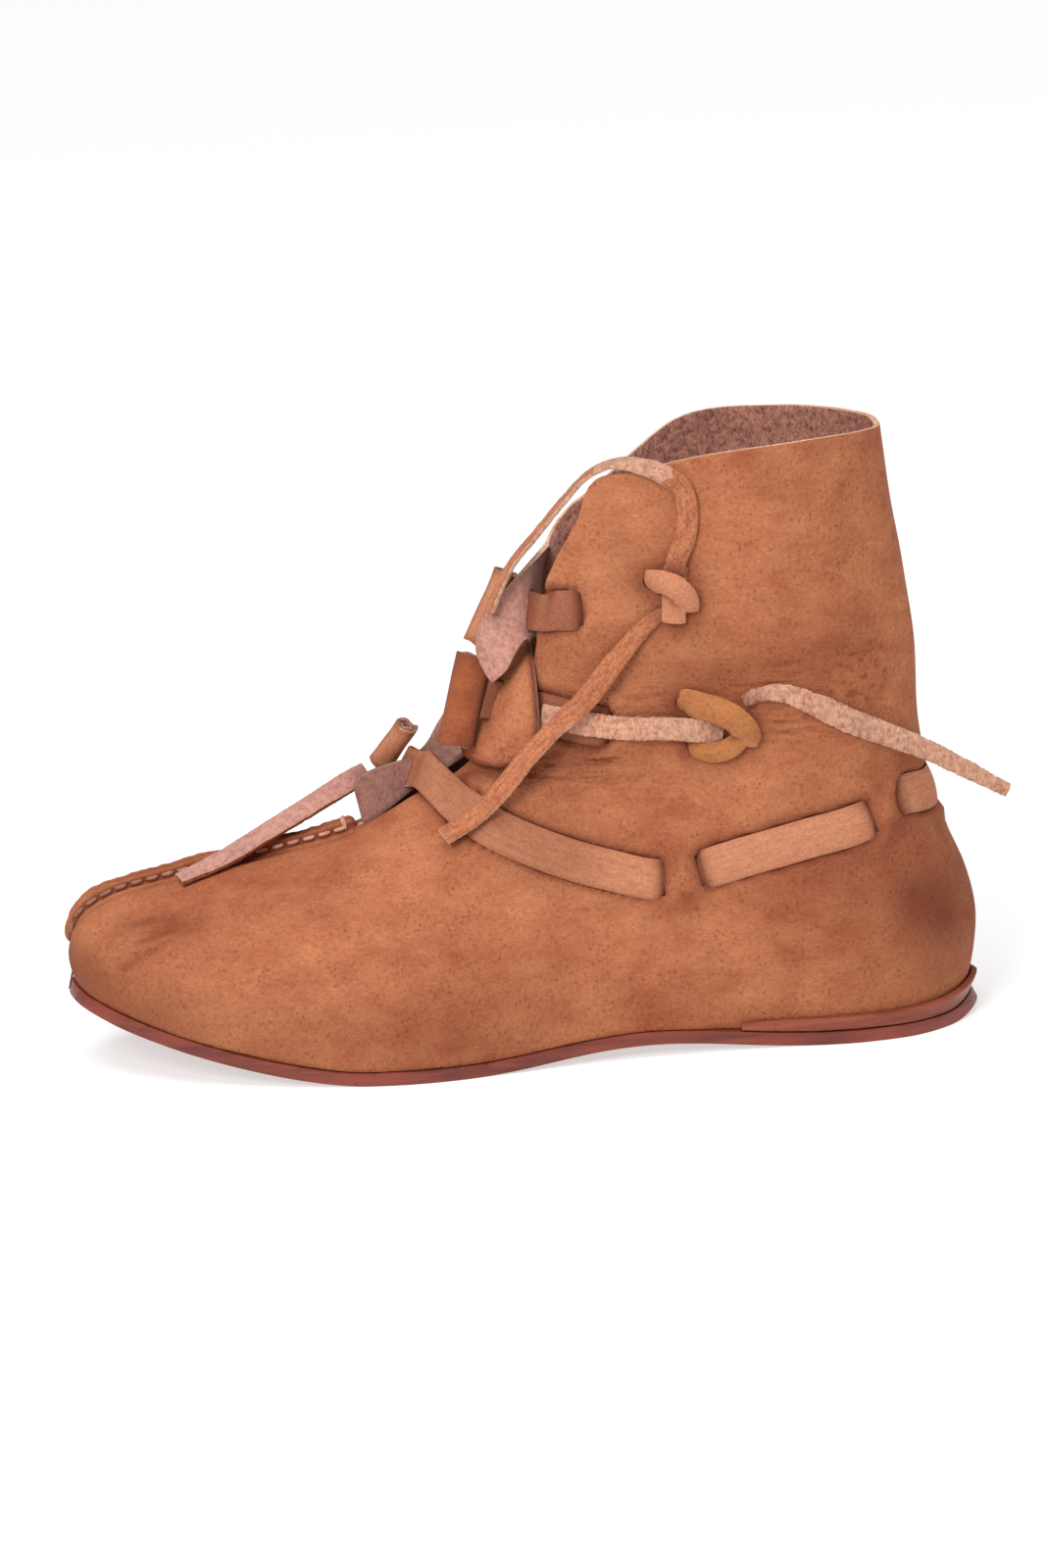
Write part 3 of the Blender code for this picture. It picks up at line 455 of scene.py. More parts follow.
MIRRORED_STRAP = [(x, -y, z, slit) for x, y, z, slit in ANKLE_STRAP]
# The stretches that lie on the wall, which gives way under them and puffs out beside them
BEDS = [
    ANKLE_STRAP[:5],
    ANKLE_STRAP[5:9],
    ANKLE_STRAP[9:] + MIRRORED_STRAP[10:8:-1],
    MIRRORED_STRAP[5:9],
    MIRRORED_STRAP[2:5],
    UPPER_STRAP[:2],
    MIDDLE_STRAP[:4],
]
BED_DEPTH, BED_PUFF = 1.2, 1.0
BED_HALF, BED_BANK, BED_END = 6.9, 2.4, 4.6  # half the bed's width, width of its bank, room left at a slit
# Creases and folds: depth, half width of the trough, then points of its route on the wall
CREASES = [
    (1.0, 1.5, [(-228, -20, 35), (-221, -24, 40), (-213, -26, 45), (-205, -26, 48)]),
    (0.7, 1.3, [(-223, -26, 35), (-216, -29, 40), (-209, -30, 44)]),
    (0.6, 1.3, [(-228, -16, 41), (-221, -19, 46), (-213, -21, 49)]),
    (0.9, 5.0, [(-222, -16, 50), (-210, -22, 49), (-200, -26, 50)]),
    (1.0, 4.0, [(-36, -31, 117), (-18, -32, 119), (0, -28, 120), (10, -24, 122)]),
    (0.8, 4.5, [(-31, -31, 96), (-4, -30, 101), (11, -22, 103)]),
    (0.6, 5.0, [(-70, -26, 120), (-52, -29, 114), (-40, -31, 112)]),
    (0.7, 1.3, [(-104, -19, 92), (-92, -24, 94.5), (-76, -26, 95.5)]),
    (0.7, 1.3, [(-104, -21, 89), (-92, -25, 91), (-72, -27, 91.5)]),
    (0.6, 1.3, [(-104, -23, 86), (-94, -26, 87.5), (-80, -27, 87.5)]),
    (0.6, 6.0, [(18, -27, 46), (26, -21, 42), (30, -12, 40)]),
    (0.5, 6.0, [(-140, -30, 66), (-120, -38, 58), (-98, -38, 50)]),
    (0.6, 4.0, [(-100, 22, 92), (-84, 27, 86), (-66, 29, 82)]),
    (-0.9, 4.5, [(-53, -30, 49), (-51.5, -30, 56), (-50, -30, 63)]),
    (-0.8, 4.5, [(9, -26, 66), (11, -25, 72), (13, -24, 78)]),
    (0.8, 1.9, [(-237, -4.6, 43.5), (-229, -5, 49.5), (-205, -5, 56), (-176, -5, 61.5), (-152, -5, 67.5)]),
    (-0.7, 4.0, [(-235, -12, 40), (-226, -12.5, 47), (-205, -13, 54), (-176, -13, 60), (-155, -13, 64.5)]),
    (0.8, 4.0, [(-227, 13, 50), (-216, 24, 45), (-207, 31, 39)]),
]
WAVES = [(0.55, 0.022), (0.25, 0.06)]  # height in mm and waves a millimetre of the leather's unevenness
TAN = {"Light": (196, 126, 86), "Rust": (152, 80, 54), "Pore": (122, 52, 36), "Shade": (92, 34, 24)}
FLESH = {"Light": (206, 152, 136), "Dark": (164, 108, 94), "Shade": (88, 44, 38)}
# the flesh side inside the shaft: a darker copy of the flesh side, painted shade inside the shoe
SHADED_FLESH = FLESH | {"Light": (204, 144, 124), "Dark": (112, 64, 58)}
CUT = {"Light": (236, 196, 168), "Dark": (176, 116, 90), "Shade": (92, 42, 30)}
SHADED_FLESH_FROM = -84.0  # the inside of the shaft begins here


def feather_edge(side, share):
    """Where the upper's wall meets the sole: inside the sole's edge, further in behind the rand."""
    share = np.asarray(share, float)
    back = np.clip((share - RAND_FROM + 2 * RAND_TAPER) / (2 * RAND_TAPER), 0, 1)
    inset = EDGE_INSET + (RAND_INSET - EDGE_INSET) * back * back * (3 - 2 * back)
    normal = sole_edge_normal(side, share)
    normal = np.where((share < 1e-6)[..., None], (-1.0, 0.0), normal)
    normal = np.where((share > 1 - 1e-6)[..., None], (1.0, 0.0), normal)
    return sole_edge(side, share) - inset[..., None] * normal, normal


def upper_point(side, share, rise):
    """A point of the smooth wall: share runs from toe to heel, rise from sole to top line."""
    share, rise = np.broadcast_arrays(np.asarray(share, float), np.asarray(rise, float))
    table = np.array(TOP_LINE)
    arch, bulge, *lines = np.moveaxis(smooth(table[:, 0], table[:, 1:], share), -1, 0)
    x, width, z = lines[:3] if side == OUTER else lines[3:]
    foot, outward = feather_edge(side, share)
    foot_z = sole_bottom(foot[..., 0]) + SOLE_THICK + GAP
    rib = np.array(SHAFT_RIB)
    lean, swell = np.moveaxis(smooth(rib[:, 0], rib[:, 1:], rise), -1, 0)
    power = 2 / VAMP_FULLNESS
    turn = rise * math.pi / 2
    height = arch * np.sin(turn) ** power + (1 - arch) * rise
    lean = arch * (1 - np.maximum(np.cos(turn), 0) ** power) + (1 - arch) * lean
    swell = arch * np.sin(math.pi * rise**0.8) + (1 - arch) * swell
    top = np.stack([x, side * width], axis=-1)
    plan = foot + (top - foot) * lean[..., None] + outward * (bulge * swell)[..., None]
    return np.concatenate([plan, (foot_z + (z - foot_z) * height)[..., None]], axis=-1)


def upper_normal(side, share, rise):
    """The way out of the smooth wall."""
    share, rise = np.broadcast_arrays(np.asarray(share, float), np.asarray(rise, float))
    step = 2e-3
    onward, back = (upper_point(side, np.clip(share + k, 0, 1), rise) for k in (step, -step))
    higher, lower = (upper_point(side, share, np.clip(rise + k, 0, 1)) for k in (step, -step))
    out = unit(np.cross(onward - back, higher - lower)) * -side
    ends = (share < 1e-6) | (share > 1 - 1e-6)
    out[..., 1] = np.where(ends, 0.0, out[..., 1])
    return unit(out)


def distance(points, route):
    """How far points are from a line of points."""
    route = np.asarray(route, float)
    nearest = np.full(points.shape[:-1], np.inf)
    for a, b in zip(route[:-1], route[1:]):
        share = np.clip((points - a) @ (b - a) / ((b - a) @ (b - a)), 0, 1)
        nearest = np.minimum(nearest, np.linalg.norm(points - a - share[..., None] * (b - a), axis=-1))
    return nearest


def unevenness(points):
    """How far the leather stands off the smooth wall: soft waves, troughs and the ridges beside them."""
    off = np.zeros(points.shape[:-1])
    for height, often in WAVES:
        waves = [noise.noise(Vector(p) * often) for p in points.reshape(-1, 3)]
        off += height * np.array(waves).reshape(off.shape)
    for depth, wide, route in CREASES:
        d = distance(points, route) / wide
        off += depth * (0.45 * np.exp(-((d - 2.0) ** 2)) - np.exp(-(d**2)))
    for rows in BEDS:
        route = np.array(rows)[:, :3]
        for end, after in ((0, 1), (-1, -2)):
            if rows[end][3]:
                route[end] += unit(route[after] - route[end]) * BED_END
        d = distance(points, route) - BED_HALF
        inside = np.clip(0.5 - d / BED_BANK, 0, 1)
        off += BED_PUFF * np.exp(-(((d - BED_BANK) / BED_BANK) ** 2))
        off -= BED_DEPTH * inside * inside * (3 - 2 * inside)
    return off


def wall(side, share, rise):
    """A point of the wall as it is, with its folds."""
    points = upper_point(side, share, rise)
    return points + upper_normal(side, share, rise) * unevenness(points)[..., None]


def tab_points(name, shares):
    """A tab's outside, as a grid from the far quarter's edge to the tab's end."""
    start, end, lines = TABS[name]
    place = (shares - start) / (end - start)
    rows = [wall(INNER, shares, np.ones_like(shares))]
    for line in lines:
        along = chords(np.array(line))
        rows.append(smooth(along, line, place * along[-1]))
    rows = np.array(rows)
    steps = np.linalg.norm(np.diff(rows, axis=0), axis=2).mean(axis=1)
    at = np.concatenate([[0.0], np.cumsum(steps)])
    face = smooth(at, rows.reshape(len(rows), -1), np.linspace(0, at[-1], TAB_ROWS + 1))
    return np.moveaxis(face.reshape(TAB_ROWS + 1, len(shares), 3), 0, 1)


def join(pieces, name):
    """Makes several pieces one."""
    pick(pieces[0])
    for piece in pieces:
        piece.select_set(True)
    bpy.ops.object.join()
    pieces[0].name = pieces[0].data.name = name
    return pieces[0]


def cover(piece, *finishes):
    """Gives a piece its finishes: grain side, flesh side, cut edge and any more."""
    for finish in finishes:
        piece.data.materials.append(finish)


def paint_dirt_and_shade(piece, marks, kind="shade"):
    """Writes how dark each point is painted, with dirt and painted shade, or how wrinkled it is: strength,
    reach and route of each mark.
    """
    points = np.empty(3 * len(piece.data.vertices))
    piece.data.vertices.foreach_get("co", points)
    points = points.reshape(-1, 3) / MM
    clean = np.ones(len(points))
    for strength, reach, route in marks:
        clean *= 1 - strength * np.exp(-((distance(points, route) / reach) ** 2))
    piece.data.attributes.new(kind, "FLOAT", "POINT").data.foreach_set("value", 1 - clean)


def grain_effect():
    """Grain side of nubuck: sandy and rusty clouds, a fine short grain, dark pores, painted shade and stains
    from the piece's marks, and painted shade in its fine wrinkles.
    """
    group, nodes, given, results = effect_group("grain side", "Light", "Rust", "Pore", "Shade")
    cloud = nodes.noise(nodes.place(), 22.0, 4.0, 0.55)
    patch = nodes.noise(nodes.place((0.7, 1.0, 1.2), (0, 25, 0)), 110.0, 6.0, 0.65)
    hairs = nodes.noise(nodes.place((0.45, 1.0, 1.0), (0, 20, 0)), 1300.0, 4.0, 0.65)
    pebble = nodes.add("TexVoronoi", vector=nodes.place(), scale=1100.0).outputs["Distance"]
    pores = nodes.add("TexVoronoi", vector=nodes.place((1.0, 1.0, 0.6), (0, 30, 0)), scale=780.0)
    pores = nodes.between(pores.outputs["Distance"], 0.02, 0.42, 1.0, 0.0)
    often = nodes.between(nodes.noise(nodes.place(), 160.0, 2.0), 0.38, 0.62, 0.30, 1.0)
    pores = nodes.sum("MULTIPLY", pores, often)
    lines = nodes.noise(nodes.place((0.13, 1.0, 1.0), (0, -14, 0)), 480.0, 2.0, 0.5)
    lines = nodes.sum("MULTIPLY", nodes.between(lines, 0.50, 0.64), nodes.mark("folds"))
    tone = nodes.both(cloud, 0.55, patch, 0.45)
    colour = nodes.mix(nodes.between(tone, 0.33, 0.65), given["Rust"], given["Light"])
    fine = nodes.between(hairs, 0.30, 0.70, 0.82, 1.14)
    colour = nodes.mix(1.0, colour, fine, "MULTIPLY")
    colour = nodes.mix(1.0, colour, nodes.between(pebble, 0.0, 0.7, 0.92, 1.04), "MULTIPLY")
    colour = nodes.mix(nodes.sum("MULTIPLY", pores, 0.55), colour, given["Pore"])
    # painted shade, with a few stains, from the shade mark, and painted shade in the creases of the fine
    # wrinkles
    dirt_and_shade = nodes.sum("MULTIPLY", nodes.mark("shade"), nodes.between(patch, 0.30, 0.65, 0.75, 1.15))
    dirt_and_shade = nodes.sum("MAXIMUM", dirt_and_shade, nodes.sum("MULTIPLY", lines, 0.75))
    colour = nodes.mix(dirt_and_shade, colour, given["Shade"])
    height = nodes.both(nodes.both(hairs, 0.8, pebble, 0.5), 1.0, nodes.both(pores, 0.7, lines, 1.5), -1.0)
    nodes.feed(results, (colour, nodes.between(patch, 0.3, 0.7, 0.88, 0.66), height))
    return group


def nap_effect():
    """Flesh side or cut edge: matted short fibres, pale at their tips and dark between."""
    group, nodes, given, results = effect_group("nap", "Light", "Dark", "Shade")
    clump = nodes.noise(nodes.place(), 480.0, 4.0, 0.65)
    fibre = nodes.noise(nodes.place((1.0, 1.0, 0.5), (0, 20, 40)), 1400.0, 4.0, 0.7)
    cloud = nodes.noise(nodes.place(), 55.0, 3.0)
    tone = nodes.both(clump, 0.5, fibre, 0.5)
    colour = nodes.mix(nodes.between(tone, 0.36, 0.58), given["Dark"], given["Light"])
    colour = nodes.mix(1.0, colour, nodes.between(cloud, 0.3, 0.7, 0.86, 1.06), "MULTIPLY")
    # painted shade, with a few stains, from the piece's shade mark
    colour = nodes.mix(nodes.mark("shade"), colour, given["Shade"])
    nodes.feed(results, (colour, nodes.between(clump, 0.3, 0.7, 0.98, 0.88), tone))
    return group


grain, nap = grain_effect(), nap_effect()
tan_grain = leather_material("tan grain side", grain, TAN, 1.0, 0.32, specular=0.14)
flesh = leather_material("flesh side", nap, FLESH, 0.8, 0.5, sheen=0.15, specular=0.15)
shaded_flesh = leather_material("flesh side in the shaft in painted shade", nap, SHADED_FLESH, 1.0, 0.9, specular=0.1)
cut_edge = leather_material("cut edge", nap, CUT, 0.8, 0.4, specular=0.2)

tab_spread = (1 - np.cos(np.linspace(0, math.pi, TAB_COLUMNS + 1))) / 2
tab_shares = {name: row[0] + (row[1] - row[0]) * tab_spread for name, row in TABS.items()}
shares = np.concatenate([
    np.linspace(0, 1, TOE_COLUMNS) ** TOE_CROWDING * THROAT_BASE,
    *tab_shares.values(),
    np.linspace(TABS["top"][1], COLLAR_CORNER, THROAT_COLUMNS)[1:-1],
    np.linspace(COLLAR_CORNER, 1, COLLAR_COLUMNS),
])
rises = np.linspace(0, 1, RIB_ROWS + 1)
near_wall = wall(OUTER, shares[:, None], rises[None, :])
far_wall = wall(INNER, shares[:, None], rises[None, :])
ridge = np.stack([near_wall[:TOE_COLUMNS, -1], far_wall[:TOE_COLUMNS, -1]], axis=1)
sheets = [
    leather_sheet("near", near_wall),
    leather_sheet("far", far_wall[::-1]),
    leather_sheet("ridge", ridge),
]
tab_grids = {name: tab_points(name, tab_shares[name]) for name in TABS}
sheets += [leather_sheet(name, grid[::-1]) for name, grid in tab_grids.items()]
upper = join(sheets, "upper_wall")
cover(upper, tan_grain, flesh, cut_edge, shaded_flesh)
merge_points(upper)
thicken(upper, WALL, -1.0, 0.35)
# the flesh side inside the shaft takes the darker copy, painted shade
for face in upper.data.polygons:
    if face.material_index == FLESH_SIDE and face.center.x > SHADED_FLESH_FROM * MM:
        face.material_index = SHAFT_SIDE


def skin_tree(near, far):
    """The wall's outside as a search tree, with its faces turned outwards."""
    points, faces = [], []
    for grid in (near, far[::-1]):
        start, (columns, rows) = len(points), grid.shape[:2]
        points.extend(map(tuple, grid.reshape(-1, 3)))
        for i in range(columns - 1):
            for j in range(rows - 1):
                k = start + i * rows + j
                faces.append((k, k + rows, k + rows + 1, k + 1))
    return BVHTree.FromPolygons(points, faces)


skin = skin_tree(near_wall, far_wall)
plain_skin = skin_tree(*(upper_point(side, shares[:, None], rises[None, :]) for side in (OUTER, INNER)))


def on_skin(point, tree=skin):
    """The nearest point of the wall's outside, and the way out of it."""
    place, normal, _, _ = tree.find_nearest(Vector(point))
    return np.array(place), np.array(normal)


# Heel rand: a thin strip of stained leather round the heel, between sole and upper.
# It was sewn in with the upper before the shoe was turned, tapers at both ends, and stands
# a little off the wall at the back.
RAND_THICK = 2.0
RAND_SIDE_TOP, RAND_BACK_TOP, RAND_TIP = 8.4, 10.7, 2.2
RAND_FLARE = 0.8
RAND_COLUMNS, RAND_ROWS = 72, 6
RAND_RIBS = np.linspace(0, 0.2, 41)  # the part of the wall that the rand lies against
RAND_ROUND = 0.45  # rounding of its cut edges
RAND_STAIN = {"Stain": (154, 76, 52), "Dark": (112, 50, 36), "Worn": (176, 100, 70)}


def rand_points(side):
    """The rand's outer face on one side, from its front end to the back of the heel."""
    share = np.linspace(RAND_FROM, 1, RAND_COLUMNS)
    foot, outward = feather_edge(side, share)
    low = sole_bottom(foot[:, 0]) + SOLE_THICK + GAP
    back = (share - RAND_FROM) / (1 - RAND_FROM)
    tall = RAND_SIDE_TOP + (RAND_BACK_TOP - RAND_SIDE_TOP) * back**3
    taper = np.clip((share - RAND_FROM) / RAND_TAPER, 0, 1)
    high = low + RAND_TIP + (tall - low - RAND_TIP) * taper * (2 - taper)
    ribs = upper_point(side, share[:, None], RAND_RIBS[None, :])
    grid = np.empty((RAND_COLUMNS, RAND_ROWS + 1, 3))
    for j, step in enumerate(np.linspace(0, 1, RAND_ROWS + 1)):
        z = low + (high - low) * step
        for i in range(RAND_COLUMNS):
            wall_at = [np.interp(z[i], ribs[i, :, 2], ribs[i, :, k]) for k in (0, 1)]
            stand = GAP + RAND_THICK + RAND_FLARE * back[i] ** 4 * step
            grid[i, j, :2] = np.array(wall_at) + outward[i] * stand
        grid[:, j, 2] = sole_bottom(grid[:, 0, 0]) + SOLE_THICK + GAP + (high - low) * step
    return grid


rand_finish = leather_material("stained rand leather", edge_effect, RAND_STAIN, 0.5, 0.4, specular=0.35)
rand_grid = np.concatenate([rand_points(OUTER), rand_points(INNER)[::-1][1:]])
rand = leather_sheet("heel_rand_strip", rand_grid)
rand.data.materials.append(rand_finish)
finish_with(rand, "SOLIDIFY", thickness=RAND_THICK * MM, offset=-1.0)
round_edges(rand, RAND_ROUND)
ready(rand, "sole_leather", "heel_rand")


# Vamp seam: the two quarters' edges turned up against each other and sewn through.
# It stands up as a low fin with two cut edges on top, pinched where a stitch pulls.
# across, height above the wall
FIN_PROFILE = [
    (-4.4, 0.0), (-3.3, 0.0), (-2.5, 0.35), (-2.1, 1.1), (-2.15, 2.1), (-1.7, 2.8),
    (-1.0, 3.1), (-0.3, 2.8), (0.0, 2.4), (0.4, 2.9), (1.3, 3.4), (2.4, 3.2),
    (3.1, 2.4), (3.1, 1.3), (3.2, 0.5), (3.7, 0.0), (4.6, 0.0),
]
FIN_COLUMNS, FIN_ROWS = 190, 40
FIN_ENDS = 2.5  # length over which it rises at its ends
FIN_SUNK = 0.9  # how deep its foot lies in the wall
FIN_FOOT = 0.9  # below this height it runs into the wall
FIN_PINCH = 0.05  # how much a stitch draws it in, as a share of its width
STITCH_PITCH, STITCH_LONG, STITCH_THICK = 5.0, 4.2, 1.3
STITCH_HEIGHT, STITCH_ACROSS = 1.1, (2.3, 3.2)
# the last stitch binds the seam's end: across, height above the wall
BINDING = [(-2.9, 0.0), (-2.0, 1.4), (-1.8, 2.6), (-0.6, 3.5), (0.7, 3.5), (2.0, 2.6), (2.3, 1.2), (3.0, 0.0)]
BINDING_AT = (0.955, 0.965, 0.975)  # shares of the seam's length, before, at and behind it
THREAD = {"Light": (216, 166, 140), "Dark": (164, 112, 90), "Shade": (110, 66, 50)}


def seam_frame(along):
    """Points of the seam's line at distances from the toe, and the ways along and out of it."""
    share = np.linspace(0, THROAT_BASE, 240)
    line = wall(OUTER, share, np.ones_like(share))
    line[:, 1] = 0.0
    at = chords(line)
    middle = smooth(at, line, along * at[-1])
    way = unit(np.gradient(middle, axis=0))
    return middle, way, np.stack([-way[:, 2], 0 * way[:, 0], way[:, 0]], axis=1), at[-1]


def fin_points():
    """The fin as a closed ring of points at each column, its ends drawn to a point."""
    middle, way, out, long = seam_frame(np.linspace(0, 1, FIN_COLUMNS))
    at = np.linspace(0, long, FIN_COLUMNS)
    profile = np.array(FIN_PROFILE)
    around = chords(profile)
    shape = smooth(around, profile, np.linspace(0, around[-1], FIN_ROWS))
    rise = np.clip(np.minimum(at, long - at) / FIN_ENDS, 0, 1)
    rise = np.sqrt(rise * (2 - rise))
    pinch = FIN_PINCH * np.cos(2 * math.pi * at / STITCH_PITCH)
    grid = np.empty((FIN_COLUMNS, FIN_ROWS + 3, 3))
    for i in range(FIN_COLUMNS):
        wobble = 0.25 * noise.noise((at[i] * 0.09, 0.0, 4.0)) + 0.12 * noise.noise((at[i] * 0.4, 2.0, 4.0))
        for j, (over, height) in enumerate(shape):
            foot = np.clip(1 - height / FIN_FOOT, 0, 1)
            place = middle[i] + np.array([0.0, over * (1 + pinch[i] * (height > 0.4)), 0.0])
            seat, normal = on_skin(place)
            free = place + out[i] * height * (1 + wobble) * rise[i]
            grid[i, j] = free * (1 - foot) + (seat - normal * 0.1) * foot
        for j, over in ((FIN_ROWS, FIN_PROFILE[-1][0]), (FIN_ROWS + 1, FIN_PROFILE[0][0])):
            seat, normal = on_skin(middle[i] + np.array([0.0, over, 0.0]))
            grid[i, j] = seat - normal * FIN_SUNK
        grid[i, -1] = grid[i, 0]
    for end in (0, -1):
        grid[end] = grid[end].mean(axis=0)
    return grid


def thread(name, route, thick):
    """A short thread along a route, round and drawn to a point at its ends."""
    at = chords(route)
    spots = np.linspace(0, at[-1], 9)
    line = smooth(at, route, spots)
    way = unit(np.gradient(line, axis=0))
    side = unit(np.cross(way, (0.3, -1.0, 0.5)))
    up = np.cross(side, way)
    radius = thick / 2 * np.sqrt(np.maximum(1 - (2 * spots / at[-1] - 1) ** 4, 0))
    turn = np.linspace(0, 2 * math.pi, 9)[None, :, None]
    ring = np.cos(turn) * side[:, None] + np.sin(turn) * up[:, None]
    piece = leather_sheet(name, line[:, None] + ring * radius[:, None, None])
    merge_points(piece)
    return piece


fin = leather_sheet("vamp_seam_fin", fin_points())
merge_points(fin)
fin.data.materials.append(tan_grain)
middle, _, out, _ = seam_frame(np.linspace(0, 1, 60))
stitch_line = middle + out * 0.8 + np.array([0.0, -2.6, 0.0])
# painted shade in the groove where the near stitches lie and between the fin's two cut edges on top; the
# whole fin a little darker
paint_dirt_and_shade(fin, [(0.75, 1.3, stitch_line), (0.5, 0.7, middle + out * 2.5), (0.22, 90.0, middle)])
ready(fin, "upper_leather")

thread_finish = leather_material("waxed thread", nap, THREAD, 0.5, 0.2)
stitches = []
_, _, _, seam_long = seam_frame(np.linspace(0, 1, 200))
for start in np.arange(3.0, seam_long - STITCH_PITCH, STITCH_PITCH):
    spots = np.array([0, 0.25, 0.5, 0.75, 1.0]) * STITCH_LONG + start
    middle, _, out, _ = seam_frame(spots / seam_long)
    for side in (OUTER, INNER):
        bow = np.array([-0.35, 0.12, 0.25, 0.12, -0.35])[:, None] * np.array([0.0, side, 0.0])
        route = middle + out * STITCH_HEIGHT + np.array([0.0, side * STITCH_ACROSS[side == INNER], 0.0]) + bow
        stitches.append(thread("stitch", route, STITCH_THICK))
middle, _, out, _ = seam_frame(np.array(BINDING_AT))
route = np.array([middle[1] + np.array([0.0, over, 0.0]) + out[1] * height for over, height in BINDING])
stitches.append(thread("stitch", route, STITCH_THICK * 1.2))
vamp_thread = join(stitches, "vamp_seam_thread")
vamp_thread.data.materials.append(thread_finish)
paint_dirt_and_shade(vamp_thread, [(0.65, 30.0, [(-240, -3, 40), (-225, -3, 54)])])
ready(vamp_thread, "upper_leather")


# Straps: flat bands of the same leather, woven through slits in the wall.
# The ankle strap goes right round the heel, and two short ones hold the throat's upper tabs.
STRAP_WIDE, STRAP_THICK = 12.0, 1.6
STRAP_STEP = 1.25
STRAP_ROWS = 10
STRAP_GAP = -0.1  # off the wall
# half the length over which it dips through the wall, the slit's length, spare width and shift
SLIT_PASS, SLIT_LONG, SLIT_SPARE, SLIT_SHIFT = 2.1, 2.0, -2.0, 0.8
STRAP_CORNER = 1.2  # rounding of its corners where it dips into a slit
TAB_SLIT_SPARE = 0.2
# x, y, z, direction of its width, 1 where it crosses the tab, from the toggle inwards
STRAP_FRONTS = {
    "ankle_strap": [
        (-135.2, 11.2, 85.6, 0.46, -0.20, 0.87, 1),
        (-133.4, 9.2, 84.8, 0.46, -0.10, 0.88, 1),
        (-130.6, 4.5, 84.6, 0.45, 0.05, 0.89, 1),
        (-128.2, -4.5, 86.5, 0.44, 0.25, 0.86, 0),
        (-125.0, -14.2, 85.4, 0.42, 0.42, 0.80, 0),
    ],
    "upper_strap": [
        (-100.6, -6.0, 136.9, 0.43, 0.00, 0.90, 0),
        (-97.2, -7.0, 136.4, 0.41, 0.00, 0.91, 1),
        (-94.4, -9.0, 136.1, 0.37, 0.00, 0.93, 0),
        (-91.8, -14.6, 136.6, 0.27, -0.12, 0.95, 1),
        (-89.4, -18.8, 137.2, 0.21, -0.17, 0.96, 0),
    ],
    "middle_strap": [
        (-108.6, -15.6, 110.9, 0.30, 0.00, 0.95, 0),
        (-107.4, -15.5, 110.6, 0.30, 0.00, 0.95, 1),
        (-104.0, -15.0, 109.6, 0.28, 0.00, 0.96, 1),
        (-101.0, -14.9, 108.3, 0.25, 0.08, 0.97, 1),
        (-98.6, -16.1, 107.4, 0.21, 0.02, 0.97, 0),
    ],
}
ANKLE_STRAP_END_SLIT = 2  # the row that is a slit on the inner side alone, near the strap's end
x, y, z, _ = MIRRORED_STRAP[ANKLE_STRAP_END_SLIT]
MIRRORED_STRAP[ANKLE_STRAP_END_SLIT] = (x, y, z, 1)
STRAP_LINES = {
    "ankle_strap": ANKLE_STRAP + MIRRORED_STRAP[-2:0:-1],
    "upper_strap": UPPER_STRAP,
    "middle_strap": MIDDLE_STRAP,
}
STRAP = TAN | {"Light": (212, 148, 112), "Rust": (170, 100, 72)}
RIM = CUT | {"Light": (168, 100, 72), "Dark": (112, 56, 40)}
STRAP_DARK = {"ankle_strap": 0.0, "upper_strap": 0.3, "middle_strap": 0.45}  # how much darker each is all over
STRAP_DOME = 0.9  # how much its middle stands above its edges


def laid_strap(line, gap):
    """Points of a strap along the wall, middles and widths of its first rows, and its slits' frames."""
    points = np.array(line)[:, :3]
    at = chords(points)
    slits = [at[k] for k, row in enumerate(line) if row[3]]
    spots = np.linspace(0, at[-1], round(at[-1] / STRAP_STEP) + 1)
    spots = [k for k in spots if all(abs(k - m) > SLIT_PASS + 0.3 for m in slits)]
    spots += [m + k * SLIT_PASS for m in slits for k in np.linspace(-1, 1, 11)]
    spots = np.array(sorted(spots))
    middles = smooth(at, points, spots)
    ways = unit(np.gradient(middles, axis=0))
    # 1 outside the wall, -1 inside
    side = np.ones(len(spots))
    for m in slits:
        u = np.clip((spots - m) / (2 * SLIT_PASS) + 0.5, 0, 1)
        side = side * (1 - 2 * u * u * (3 - 2 * u))
    lifts = side * (gap + STRAP_THICK / 2 + WALL / 2) - WALL / 2
    lifts += unevenness(np.array([on_skin(middle, plain_skin)[0] for middle in middles]))
    corners = np.clip(1 - np.min([np.abs(spots - m) for m in slits], axis=0) / STRAP_CORNER, 0, 1)
    halves = STRAP_WIDE / 2 - STRAP_CORNER * (1 - np.sqrt(1 - corners**2))
    grid, frames = [], []
    for middle, way, lift, half in zip(middles, ways, lifts, halves):
        place, out = on_skin(middle, plain_skin)
        wide = unit(np.cross(out, way))
        row = []
        for k in np.linspace(-1, 1, STRAP_ROWS + 1):
            seat, normal = on_skin(place + wide * half * k, plain_skin)
            row.append(seat + normal * (lift + STRAP_DOME * (0.7 - k * k)))
        grid.append(row)
        frames.append((on_skin(middle)[0], unit(way - out * (way @ out)), wide, out))
    # the slit lies towards the side where the strap is outside
    cuts = []
    for k, m in enumerate(slits):
        place, way, wide, out = frames[int(np.argmin(np.abs(spots - m)))]
        cuts.append((place - way * SLIT_SHIFT * (-1) ** k, way, wide, out))
    grid = np.array(grid)
    return grid, [(grid[k].mean(axis=0), frames[k][2]) for k in (0, 1)], cuts


